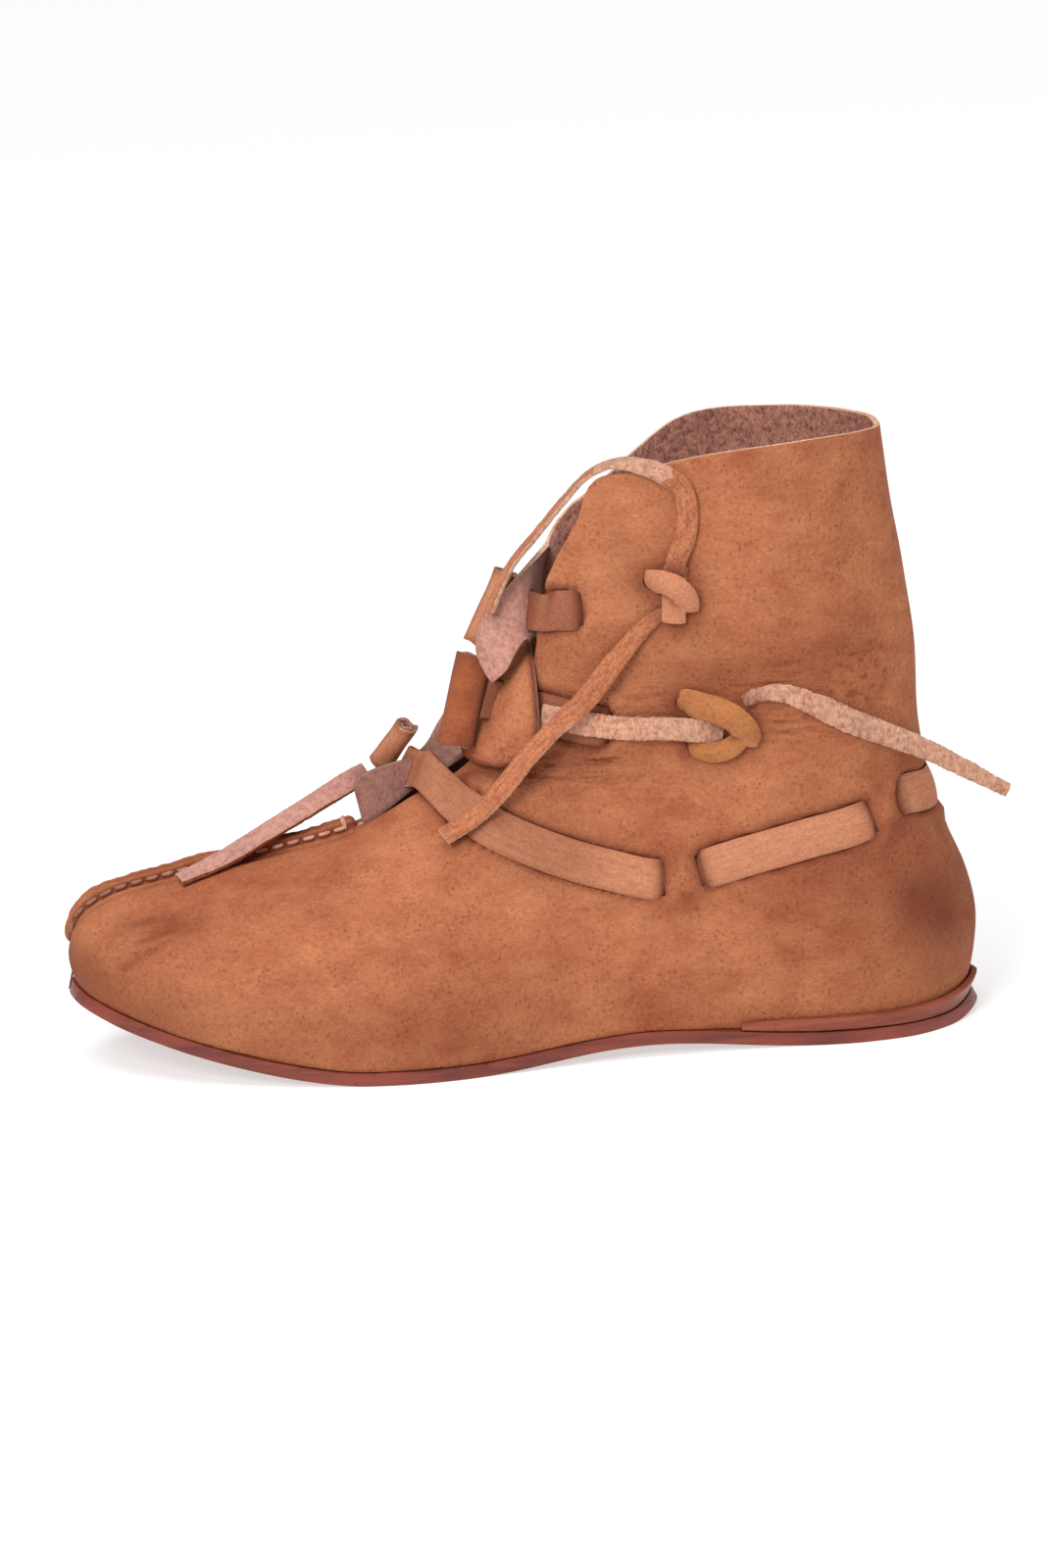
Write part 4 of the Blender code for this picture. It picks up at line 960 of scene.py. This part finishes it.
def free_strap(rows, onward):
    """Points of a strap's free front, and wider ones of its passage through a tab."""
    rows = np.array(rows)
    middles = np.concatenate([rows[:, :3], [middle for middle, _ in onward]])
    wides = np.concatenate([unit(rows[:, 3:6]), [wide for _, wide in onward]])
    at = chords(middles)
    end = at[len(rows)]
    spots = np.linspace(0, end, round(end / STRAP_STEP) + 1)[:-1]
    tab = at[: len(rows)][rows[:, 6] > 0]
    half = np.linspace(-1, 1, STRAP_ROWS + 1)[:, None] / 2

    def laid(places, wide):
        middle = smooth(at, middles, places)
        return middle[:, None] + unit(smooth(at, wides, places))[:, None] * half * wide

    passage = laid(np.linspace(tab[0], tab[-1], 8), STRAP_WIDE + 2 * TAB_SLIT_SPARE)
    return laid(spots, STRAP_WIDE), passage


def cutter_box(place, way, wide, out):
    """A box through the wall, as long and wide as its slit."""
    bpy.ops.object.select_all(action="DESELECT")
    bpy.ops.mesh.primitive_cube_add(size=1)
    box = bpy.context.object
    sides = [way * SLIT_LONG, wide * (STRAP_WIDE + SLIT_SPARE), out * (WALL + 2 * STRAP_THICK)]
    middle = place - out * WALL / 2
    turned = Matrix(sides).transposed().to_4x4()
    turned.translation = Vector(middle)
    box.data.transform(Matrix.Scale(MM, 4) @ turned)
    return box


def strip_effect(name, scale, pale, dark):
    """Worn grain side of a strip: fibres drawn along it, with fine cracks between them."""
    group, nodes, given, results = effect_group(name, "Light", "Rust", "Pore", "Shade")
    on_strip = nodes.add("Mapping", vector=nodes.add("UVMap", uv_map="UVMap").outputs["UV"])
    on_strip.inputs["Scale"].default_value = scale
    fibres = nodes.noise(on_strip.outputs[0], 1.0, 5.0, 0.65)
    specks = nodes.noise(nodes.place(), 1100.0, 3.0, 0.6)
    tone = nodes.both(fibres, 0.5, specks, 0.5)
    colour = nodes.mix(nodes.between(tone, dark, pale), given["Rust"], given["Light"])
    colour = nodes.mix(nodes.between(fibres, 0.34, 0.26, 0.0, 0.4), colour, given["Pore"])
    # painted shade and darkening from the piece's shade mark
    colour = nodes.mix(nodes.mark("shade"), colour, given["Shade"])
    nodes.feed(results, (colour, nodes.between(specks, 0.3, 0.7, 0.92, 0.72), tone))
    return group


strap_strip = strip_effect("strap strip", (70.0, 9.0, 1.0), 0.70, 0.28)
strap_grain = leather_material("strap grain side", strap_strip, STRAP, 0.4, 0.2, specular=0.15)
dark_rim = leather_material("dark cut edge", nap, RIM, 0.8, 0.3, specular=0.2)
cutters, strap_rims, slit_marks = [], [], []
for name, line in STRAP_LINES.items():
    grid, onward, cuts = laid_strap(line, STRAP_GAP)
    front, passage = free_strap(STRAP_FRONTS[name], onward)
    cutters += [cutter_box(*cut) for cut in cuts]
    halves = np.array([[-0.5], [0.5]]) * STRAP_WIDE
    slit_lines = [place + wide * halves for place, _, wide, _ in cuts]
    slit_marks += slit_lines
    tab_cutter = leather_sheet("tab slit", passage)
    finish_with(tab_cutter, "SOLIDIFY", thickness=(STRAP_THICK + 2 * TAB_SLIT_SPARE) * MM, offset=0.0)
    cutters.append(tab_cutter)
    band = np.concatenate([front, grid])
    strap = leather_sheet(name + "_band", band)
    cover(strap, strap_grain, flesh, dark_rim)
    thicken(strap, STRAP_THICK, 0.0, 0.7, 3)
    strap_rims += [band[:, 0], band[:, -1]]
    middle = band[:, STRAP_ROWS // 2]
    # painted shade along both edges and round the slits, darker over the free front and a little beyond, and
    # darker all over by STRAP_DARK
    dirt_and_shade = [(0.7, 0.7, band[:, 0]), (0.6, 0.6, band[:, -1]), (0.3, 6.0, middle[:8])]
    dirt_and_shade += [(0.3, 14.0, middle[: len(front) + 30]), (STRAP_DARK[name], 100.0, middle)]
    paint_dirt_and_shade(strap, dirt_and_shade + [(0.7, 2.4, slit) for slit in slit_lines])
    ready(strap, "strap_leather", name)


# Toggles: the ends of the straps rolled up round themselves, so that they can't slip back.
# The roll lies across the strap behind its tab and shows its spiral at the ends.
# x, y, z of its middle, direction of the roll, length, half width, half depth
TOGGLES = {
    "upper_toggle": (-105.3, -6.0, 137.0, 0.43, 0.00, 0.90, 24.0, 4.2, 4.2),
    "middle_toggle": (-115.0, -15.0, 110.8, 0.27, 0.15, 0.95, 28.0, 5.8, 4.2),
    "low_toggle": (-137.7, 12.9, 91.3, 0.50, -0.45, 0.74, 18.0, 4.1, 4.1),
}
ROLL_TURNS, ROLL_THICK, ROLL_GAP = 1.6, 1.2, 0.25
ROLL_FLARE = 0.12  # how much wider its lower end is
ROLL_COLUMNS, ROLL_ROWS = 84, 14
OCHRE = TAN | {"Light": (170, 92, 48), "Rust": (122, 54, 30)}


def roll_points(row, seed):
    """A strip rolled up to a flattened spiral, a little uneven."""
    middle, roll = np.array(row[:3]), unit(np.array(row[3:6]))
    length, half_wide, half_deep = row[6:]
    sideways = unit(np.cross(roll, (0.0, 1.0, 0.0)))
    deep = np.cross(roll, sideways) * half_deep / half_wide
    turn = np.linspace(0, 2 * math.pi * ROLL_TURNS, ROLL_COLUMNS + 1)
    grow = (ROLL_THICK + ROLL_GAP) / (2 * math.pi)
    reach = half_wide - ROLL_THICK / 2 - grow * (turn[-1] - turn)
    ring = np.cos(turn)[:, None] * sideways + np.sin(turn)[:, None] * deep
    grid = np.empty((ROLL_COLUMNS + 1, ROLL_ROWS + 1, 3))
    for j, k in enumerate(np.linspace(-0.5, 0.5, ROLL_ROWS + 1)):
        uneven = np.array([0.4 * noise.noise((math.cos(t), math.sin(t), 2 * k + seed)) for t in turn])
        flare = 1 + ROLL_FLARE * np.clip(-2 * k, 0, 1) ** 3
        along, off = k * length + 2 * uneven, reach * flare + uneven
        grid[:, j] = middle + roll * along[:, None] + ring * off[:, None]
    return grid


ochre_grain = leather_material("ochre grain side", grain, OCHRE, 0.55, 0.2, sheen=0.1)
for seed, (name, row) in enumerate(TOGGLES.items()):
    grid = roll_points(row, 10.0 * seed)
    roll = leather_sheet(name + "_roll", grid)
    cover(roll, ochre_grain if name == "middle_toggle" else strap_grain, flesh, cut_edge)
    thicken(roll, ROLL_THICK, 0.0, 0.3)
    # darker along both ends, and shade painted down the roll's two sides so that it looks round
    sides = [grid[round(ROLL_COLUMNS * turn / ROLL_TURNS)] for turn in (1.0, 1.5)]
    paint_dirt_and_shade(roll, [(0.45, 1.6, grid[:, 0]), (0.45, 1.6, grid[:, -1])] + [(0.5, 2.2, side) for side in sides])
    ready(roll, "toggle_leather", name)


# Thongs: narrow strips of soft leather with a rough flesh side.
# One is knotted through a hole high in the near quarter, with an end over the collar and one that
# hangs down. The other is knotted below it, and the tail of the low toggle lies on the vamp.
THONG_THICK, THONG_STEP = 1.6, 0.5
THONG_WIDTHS = {
    "upper_lace_over": 6.0,
    "upper_lace_down": 6.4,
    "lower_lace_front": 7.0,
    "lower_lace_back": 7.0,
    "toggle_tail": 8.0,
}
THONG_ROWS = 8
# x, y, z near the wall, then the lift off the wall, or the way that it faces where it is free
THONGS = {
    "upper_lace_over": [
        (-49.4, -30.5, 149.2, 1.3),
        (-49.0, -32.0, 153.2, 1.6),
        (-46.0, -33.0, 161.0, 1.2),
        (-45.0, -33.0, 169.0, 1.3),
        (-46.5, -33.0, 176.0, 1.8),
        (-50.5, -35.0, 179.8, (-0.25, -0.75, 0.60)),
        (-57.0, -32.0, 182.6, (-0.40, -0.30, 0.85)),
        (-65.5, -27.5, 183.5, (-0.60, 0.10, 0.80)),
        (-73.5, -23.0, 179.8, (-0.75, 0.10, 0.66)),
        (-81.0, -19.5, 172.0, (-0.84, 0.00, 0.54)),
        (-90.5, -16.5, 160.8, (-0.86, -0.08, 0.50)),
        (-98.5, -15.5, 151.5, (-0.86, -0.16, 0.48)),
        (-102.6, -16.2, 144.3, (-0.86, -0.24, 0.45)),
        (-105.6, -17.4, 138.0, (-0.86, -0.30, 0.42)),
    ],
    "upper_lace_down": [
        (-53.5, -30.0, 138.0, 1.0),
        (-59.2, -30.0, 133.6, 1.8),
        (-67.8, -27.0, 123.7, 3.4),
        (-78.3, -26.0, 112.2, 6.6),
        (-85.6, -25.0, 98.9, 9.8),
        (-95.0, -25.0, 90.3, 10.0),
        (-103.1, -25.0, 82.3, 7.2),
        (-113.3, -26.0, 75.4, 4.4),
        (-122.0, -29.0, 71.0, 3.8),
    ],
    "lower_lace_front": [
        (-37.5, -33.0, 100.4, 0.8),
        (-45.0, -33.0, 101.2, 2.2),
        (-52.0, -31.0, 102.0, 2.8),
        (-62.0, -29.0, 102.3, 3.3),
        (-73.0, -28.0, 103.0, 3.3),
        (-83.0, -26.0, 104.7, 3.3),
        (-92.0, -22.0, 106.2, 3.3),
    ],
    "lower_lace_back": [
        (-31.0, -33.0, 109.6, 1.4),
        (-26.0, -33.0, 111.6, 1.6),
        (-19.0, -33.0, 111.5, 1.3),
        (-10.0, -32.5, 107.5, 1.3),
        (2.0, -30.0, 100.5, 1.3),
        (12.0, -25.0, 95.0, 1.7),
        (24.0, -19.0, 88.0, (0.40, -0.85, 0.30)),
        (36.0, -14.0, 80.0, (0.30, -0.90, 0.30)),
        (49.5, -10.0, 71.0, (0.20, -0.92, 0.30)),
    ],
    "toggle_tail": [
        (-146.0, 10.0, 83.2, (-0.30, -0.70, 0.65)),
        (-152.0, 7.8, 81.2, (-0.30, -0.65, 0.70)),
        (-158.0, 5.0, 78.6, (-0.30, -0.60, 0.75)),
        (-167.0, 1.0, 74.5, (-0.25, -0.50, 0.80)),
        (-178.0, -3.0, 69.5, (-0.20, -0.40, 0.85)),
        (-190.0, -7.0, 63.8, (-0.20, -0.35, 0.90)),
        (-205.0, -11.5, 57.5, 1.6),
    ],
}
# the side that shows, width at its start and its tip as a share, how it lies
THONG_LOOKS = {
    "upper_lace_over": ("grain", 1.00, 0.75, "loose"),
    "upper_lace_down": ("grain", 0.45, 0.85, "hanging"),
    "lower_lace_front": ("flesh", 1.00, 1.00, "taut"),
    "lower_lace_back": ("flesh", 0.40, 0.55, "loose"),
    "toggle_tail": ("smooth", 1.00, 1.10, "loose"),
}
# where the end over the collar turns its flesh side up: x from, x to, above this z
TURNED_FROM, TURNED_TO, TURNED_ABOVE = -72.0, -49.0, 178.5
THONG = TAN | {"Light": (206, 132, 88), "Rust": (146, 74, 48)}
NAP = FLESH | {"Light": (224, 170, 140), "Dark": (160, 100, 76)}


def thong_points(rows, wide, ends, seed, dome=0.5, rough=1.0):
    """The middles of a thong and its points across, which face away from the wall."""
    middles, outs = [], []
    for x, y, z, lift in rows:
        place, out = on_skin((x, y, z))
        free = isinstance(lift, tuple)
        middles.append(np.array((x, y, z)) if free else place + out * lift)
        outs.append(unit(np.array(lift)) if free else out)
    at = chords(middles)
    spots = np.linspace(0, at[-1], round(at[-1] / THONG_STEP) + 1)
    line, outs = smooth(at, middles, spots), smooth(at, outs, spots)
    ways = unit(np.gradient(line, axis=0))
    outs = unit(outs - ways * np.sum(outs * ways, axis=1, keepdims=True))
    sides = np.cross(outs, ways)
    share = spots / at[-1]
    taper = 1 - (1 - ends[0]) * np.clip(1 - 3.5 * share, 0, 1) ** 1.3
    taper -= (1 - ends[1]) * np.clip(1.6 * share - 0.6, 0, 1) ** 1.5
    grid = np.empty((len(spots), THONG_ROWS + 1, 3))
    for i, spot in enumerate(spots):
        for j, k in enumerate(np.linspace(-0.5, 0.5, THONG_ROWS + 1)):
            bump = 0.25 * rough * noise.noise((spot * 0.3, seed + 5.0 * k, 1.0))
            bump += 0.15 * rough * noise.noise((spot * 1.3, seed, 9.0 * k))
            ragged = 0.32 * rough * noise.noise((spot * 2.1, seed, 7.0 * k)) * abs(2 * k)
            across = k * wide * taper[i] + ragged
            grid[i, j] = line[i] + sides[i] * across + outs[i] * (bump - 4 * dome * k * k)
    return line, grid


worn_thong = strip_effect("worn thong", (16.0, 7.0, 1.0), 0.64, 0.36)
thong_grain = leather_material("thong grain side", worn_thong, THONG, 0.9, 0.6, sheen=0.1)
thong_nap = leather_material("thong flesh side", nap, NAP, 1.0, 0.8, sheen=0.2, specular=0.1)
THONG_SIDES = {
    "grain": (thong_grain, thong_nap, cut_edge),
    "flesh": (thong_nap, thong_grain, cut_edge),
    "smooth": (flesh, thong_grain, dark_rim),
}
thongs, thong_lines = {}, {}
for seed, (name, rows) in enumerate(THONGS.items()):
    side, *ends, _ = THONG_LOOKS[name]
    rough = 1.2 if side == "flesh" else 0.6
    line, grid = thong_points(rows, THONG_WIDTHS[name], ends, 3.0 * seed, rough=rough)
    piece = leather_sheet(name + "_thong", grid)
    cover(piece, *THONG_SIDES[side])
    thicken(piece, THONG_THICK, 0.0, 0.4)
    paint_dirt_and_shade(piece, [(0.4, 0.7, grid[:, 0]), (0.3, 0.7, grid[:, -1]), (0.5, 5.0, line[:2])])
    if name == "upper_lace_over":
        for face in piece.data.polygons:
            x, _, z = face.center / MM
            if TURNED_FROM < x < TURNED_TO and z > TURNED_ABOVE and face.normal.z > 0.2:
                face.material_index = FLESH_SIDE
    thongs[name], thong_lines[name] = ready(piece, "thong_leather", name), line


# Knots: each thong comes out of a hole, goes over itself and is drawn tight, so the knot is
# a few turns of the flat strip pressed against the wall.
KNOT_THICK, KNOT_DOME = 2.0, 1.0
# knot, then the width of each turn, and x, y, z and lift off the wall along it
KNOTS = {
    "upper_lace_knot": [
        (6.4, [
            (-58.2, -28.4, 146.6, -1.4),
            (-55.6, -28.8, 147.4, 1.6),
            (-52.4, -29.4, 147.6, 4.0),
            (-49.4, -30.0, 146.6, 5.2),
            (-47.2, -30.3, 144.4, 5.0),
            (-46.2, -30.4, 141.4, 3.6),
            (-46.6, -30.2, 138.4, 1.2),
        ]),
        (6.6, [
            (-49.3, -30.2, 151.5, 0.2),
            (-49.6, -30.0, 148.0, 0.8),
            (-49.9, -29.8, 144.0, 1.8),
            (-50.1, -29.5, 139.0, 2.2),
            (-50.4, -29.2, 134.6, 2.0),
        ]),
    ],
    "lower_lace_knot": [
        (7.4, [
            (-50.6, -28.5, 109.0, -2.0),
            (-47.6, -28.9, 109.6, 1.0),
            (-43.4, -29.6, 108.9, 3.4),
            (-38.4, -30.2, 107.7, 4.8),
            (-34.2, -30.6, 106.0, 5.2),
            (-31.4, -30.8, 103.2, 4.8),
            (-30.4, -31.0, 100.0, 3.4),
            (-31.6, -30.9, 96.8, 1.6),
        ]),
        (5.4, [
            (-47.5, -28.9, 97.0, -1.8),
            (-45.0, -29.2, 95.4, 0.8),
            (-41.0, -29.8, 94.4, 2.0),
            (-36.3, -30.3, 95.2, 2.6),
            (-33.0, -30.7, 98.2, 2.4),
            (-32.4, -30.8, 102.0, 1.8),
        ]),
    ],
}
KNOT = TAN | {"Light": (192, 124, 68), "Rust": (152, 84, 44)}

ochre_thong = leather_material("ochre thong grain side", grain, KNOT, 0.7, 0.25, sheen=0.1)
knot_lines = []
for seed, (name, turns) in enumerate(KNOTS.items()):
    parts, shade_cast_by_turns = [], []
    for turn, (wide, rows) in enumerate(turns):
        _, grid = thong_points(rows, wide, (1.0, 1.0), 20.0 + seed + 4.0 * turn, KNOT_DOME, 0.35)
        part = leather_sheet("turn", grid)
        cover(part, ochre_thong if name == "lower_lace_knot" else strap_grain, thong_nap, cut_edge)
        thicken(part, KNOT_THICK, 0.0, 0.6, 3)
        # a faint dark line along its edges, and painted shadow along the edges of the turns that lie over it
        paint_dirt_and_shade(part, [(0.2, 0.5, grid[:, 0]), (0.2, 0.5, grid[:, -1])] + shade_cast_by_turns)
        shade_cast_by_turns += [(0.75, 1.9, grid[:, 0]), (0.75, 1.9, grid[:, -1])]
        knot_lines.append(grid[:, THONG_ROWS // 2])
        parts.append(part)
    thongs[name] = ready(join(parts, name + "_turns"), "thong_leather", name)

# each thong, and the knots on it
CORDS = {
    "upper_lace_over": ["upper_lace_knot"],
    "upper_lace_down": [],
    "lower_lace_front": ["lower_lace_knot"],
    "lower_lace_back": [],
    "toggle_tail": [],
}
for name, on_it in CORDS.items():
    line = thong_lines[name] * MM


# Slits and holes: cut through the wall and the tabs with a knife, for the straps and the thongs.
# Shade is painted into the folds, round the slits and along whatever lies on the leather; the heel has a
# stain.
HOLES = [(-57.0, -28.6, 146.9), (-49.2, -28.7, 109.2), (-46.6, -29.0, 96.4)]
HOLE_WIDE = 4.6

for place in HOLES:
    seat, out = on_skin(place)
    bpy.ops.object.select_all(action="DESELECT")
    bpy.ops.mesh.primitive_cylinder_add(vertices=20, radius=HOLE_WIDE / 2 * MM, depth=4 * WALL * MM)
    hole = bpy.context.object
    turned = Vector(out).to_track_quat("Z", "Y").to_matrix().to_4x4()
    hole.data.transform(Matrix.Translation(Vector(seat) * MM) @ turned)
    cutters.append(hole)
cutter = join(cutters, "slits")
cover(cutter, tan_grain, flesh, cut_edge)
cutter.data.polygons.foreach_set("material_index", [CUT_SIDE] * len(cutter.data.polygons))
finish_with(upper, "BOOLEAN", operation="DIFFERENCE", object=cutter, solver="EXACT")
bpy.data.objects.remove(cutter)

# strength, reach and route of dark marks on the wall: a stain and darkening round the heel, painted shade low
# on the near side, at the toe, under the middle tab and in the shaft's folds, and darker by the low tab
DIRT_AND_SHADE = [
    (0.22, 13.0, [(-215, -34, 22), (-180, -44, 16), (-140, -48, 14), (-100, -42, 14)]),
    (0.35, 14.0, [(-240, -4, 26), (-232, -18, 24), (-214, -32, 18)]),
    (0.30, 7.0, [(-222, -18, 46), (-210, -24, 47), (-200, -27, 49)]),
    (0.35, 10.0, [(-244, -2, 36), (-232, -14, 32)]),
    (0.55, 9.0, [(20, -26, 42), (28, -22, 38)]),
    (0.30, 20.0, [(-2, -32, 54), (14, -28, 50), (28, -18, 44)]),
    (0.28, 24.0, [(20, -24, 20), (30, -10, 36), (30, 10, 36), (20, 24, 20)]),
    (0.35, 9.0, [(-150, 2, 79), (-138, 6, 82), (-126, 10, 88)]),
    (0.45, 3.0, [(-112, -16, 89), (-104, -22, 88), (-97, -25, 91)]),
    (0.35, 5.0, [(-100, -24, 90), (-88, -26, 94), (-76, -27, 95)]),
    (0.25, 9.0, [(-84, -24, 118), (-64, -26, 122), (-40, -30, 118), (-20, -31, 118), (4, -27, 122)]),
    (0.20, 7.0, [(-66, -26, 158), (-56, -28, 142), (-40, -30, 132)]),
]
# strength, reach and route of fine wrinkles, bumped and with painted shade in their creases
WRINKLES = [
    (1.0, 7.0, [(-104, -22, 89), (-93, -25, 91), (-74, -27, 92)]),
    (0.6, 6.0, [(-228, -20, 37), (-218, -25, 43), (-208, -28, 47)]),
    (0.6, 8.0, [(-26, -31, 100), (-10, -31, 104), (8, -25, 112)]),
    (0.5, 7.0, [(-84, -24, 116), (-72, -26, 112), (-58, -28, 112)]),
    (0.6, 8.0, [(-36, -31, 117), (-12, -32, 119), (8, -26, 121)]),
]
marks = list(DIRT_AND_SHADE)
# painted shade in the narrow creases, along and beside the straps, in the slits and holes, round the knots,
# beside the thongs on the wall and along the rand's top edge; darker along the tabs' cut edges
marks += [(0.35, 1.8 * wide / 2, route) for depth, wide, route in CREASES if depth > 0.45 and wide < 3]
for grid in tab_grids.values():
    marks.append((0.80, 1.3, np.concatenate([grid[0, 8:], grid[1:, -1], grid[-1, -2:8:-1]])))
marks += [(0.80, 1.3, rim) for rim in strap_rims]
marks += [(0.25, 4.0, rim) for rim in strap_rims]
marks += [(0.95, 1.5, slit) for slit in slit_marks]
marks += [(0.65, 3.6, (np.array(place) - 0.5, np.array(place) + 0.5)) for place in HOLES]
marks += [(0.50, 5.5, line) for line in knot_lines]
for name in ("lower_lace_front", "lower_lace_back", "upper_lace_down"):
    marks.append((0.30, 4.5, thong_lines[name]))
marks.append((0.75, 1.2, rand_grid[:, -1]))
paint_dirt_and_shade(upper, marks)
paint_dirt_and_shade(upper, WRINKLES, "folds")
ready(upper, "upper_leather", "upper")


# Stage: a plain pale floor lit through from below, soft light from above and both sides, and the
# photograph's camera.
CAMERA_TARGET, CAMERA_DISTANCE = (-98.3, 0.0, 79.2), 1500.0
CAMERA_RISE, CAMERA_ROLL = 15.0, 3.3
CAMERA_LENS = 112.05
FLOOR, FLOOR_GLOW, FLOOR_SIZE = (190, 190, 190), 0.58, 60.0
STUDIO_GLOW = 0.20
# place in metres, strength, spread in degrees
OVERHEAD_PLACE, OVERHEAD_STRENGTH, OVERHEAD_SPREAD = (-0.3, -0.3, 1.5), 1.8, 40.0
# name, place in metres, size in metres, watts
LIGHTS = [
    ("key", (-0.8, -1.6, 1.3), 0.7, 25.0),
    ("fill", (1.3, 0.4, 0.9), 1.0, 4.0),
]

bpy.ops.object.select_all(action="DESELECT")
bpy.ops.mesh.primitive_plane_add(size=FLOOR_SIZE)
floor = bpy.context.object
floor.name = "floor"
floor_finish = bpy.data.materials.new("pale floor")
floor_finish.use_nodes = True
floor_shader = floor_finish.node_tree.nodes["Principled BSDF"]
floor_shader.inputs["Base Color"].default_value = paint(FLOOR)
floor_shader.inputs["Emission Color"].default_value = (1.0, 1.0, 1.0, 1.0)
floor_shader.inputs["Emission Strength"].default_value = FLOOR_GLOW
floor_shader.inputs["Roughness"].default_value = 0.9
floor_shader.inputs["Specular IOR Level"].default_value = 0.1
floor.data.materials.append(floor_finish)

world = bpy.data.worlds.new("studio")
world.use_nodes = True
world.node_tree.nodes["Background"].inputs["Color"].default_value = (1.0, 0.99, 0.98, 1.0)
world.node_tree.nodes["Background"].inputs["Strength"].default_value = STUDIO_GLOW
bpy.context.scene.world = world
bpy.context.scene.view_settings.view_transform = "Standard"

target = Vector(CAMERA_TARGET) * MM
for name, place, size, power in LIGHTS:
    bpy.ops.object.light_add(type="AREA", location=place)
    lamp = bpy.context.object
    lamp.name = name
    lamp.data.size = size
    lamp.data.energy = power
    lamp.rotation_euler = (target - Vector(place)).to_track_quat("-Z", "Y").to_euler()
bpy.ops.object.light_add(type="SUN", location=OVERHEAD_PLACE)
sky = bpy.context.object
sky.name = "overhead"
sky.data.energy, sky.data.angle = OVERHEAD_STRENGTH, math.radians(OVERHEAD_SPREAD)
sky.rotation_euler = (target - sky.location).to_track_quat("-Z", "Y").to_euler()

rise, roll = math.radians(CAMERA_RISE), math.radians(CAMERA_ROLL)
back = Vector((0.0, -math.cos(rise), math.sin(rise)))
level = Vector((1.0, 0.0, 0.0))
upright = back.cross(level)
right = level * math.cos(roll) - upright * math.sin(roll)
up = upright * math.cos(roll) + level * math.sin(roll)
bpy.ops.object.camera_add()
camera = bpy.context.object
camera.data.lens = CAMERA_LENS
stand = Matrix.Translation(target + back * CAMERA_DISTANCE * MM)
camera.matrix_world = stand @ Matrix((right, up, back)).transposed().to_4x4()
bpy.context.scene.camera = camera
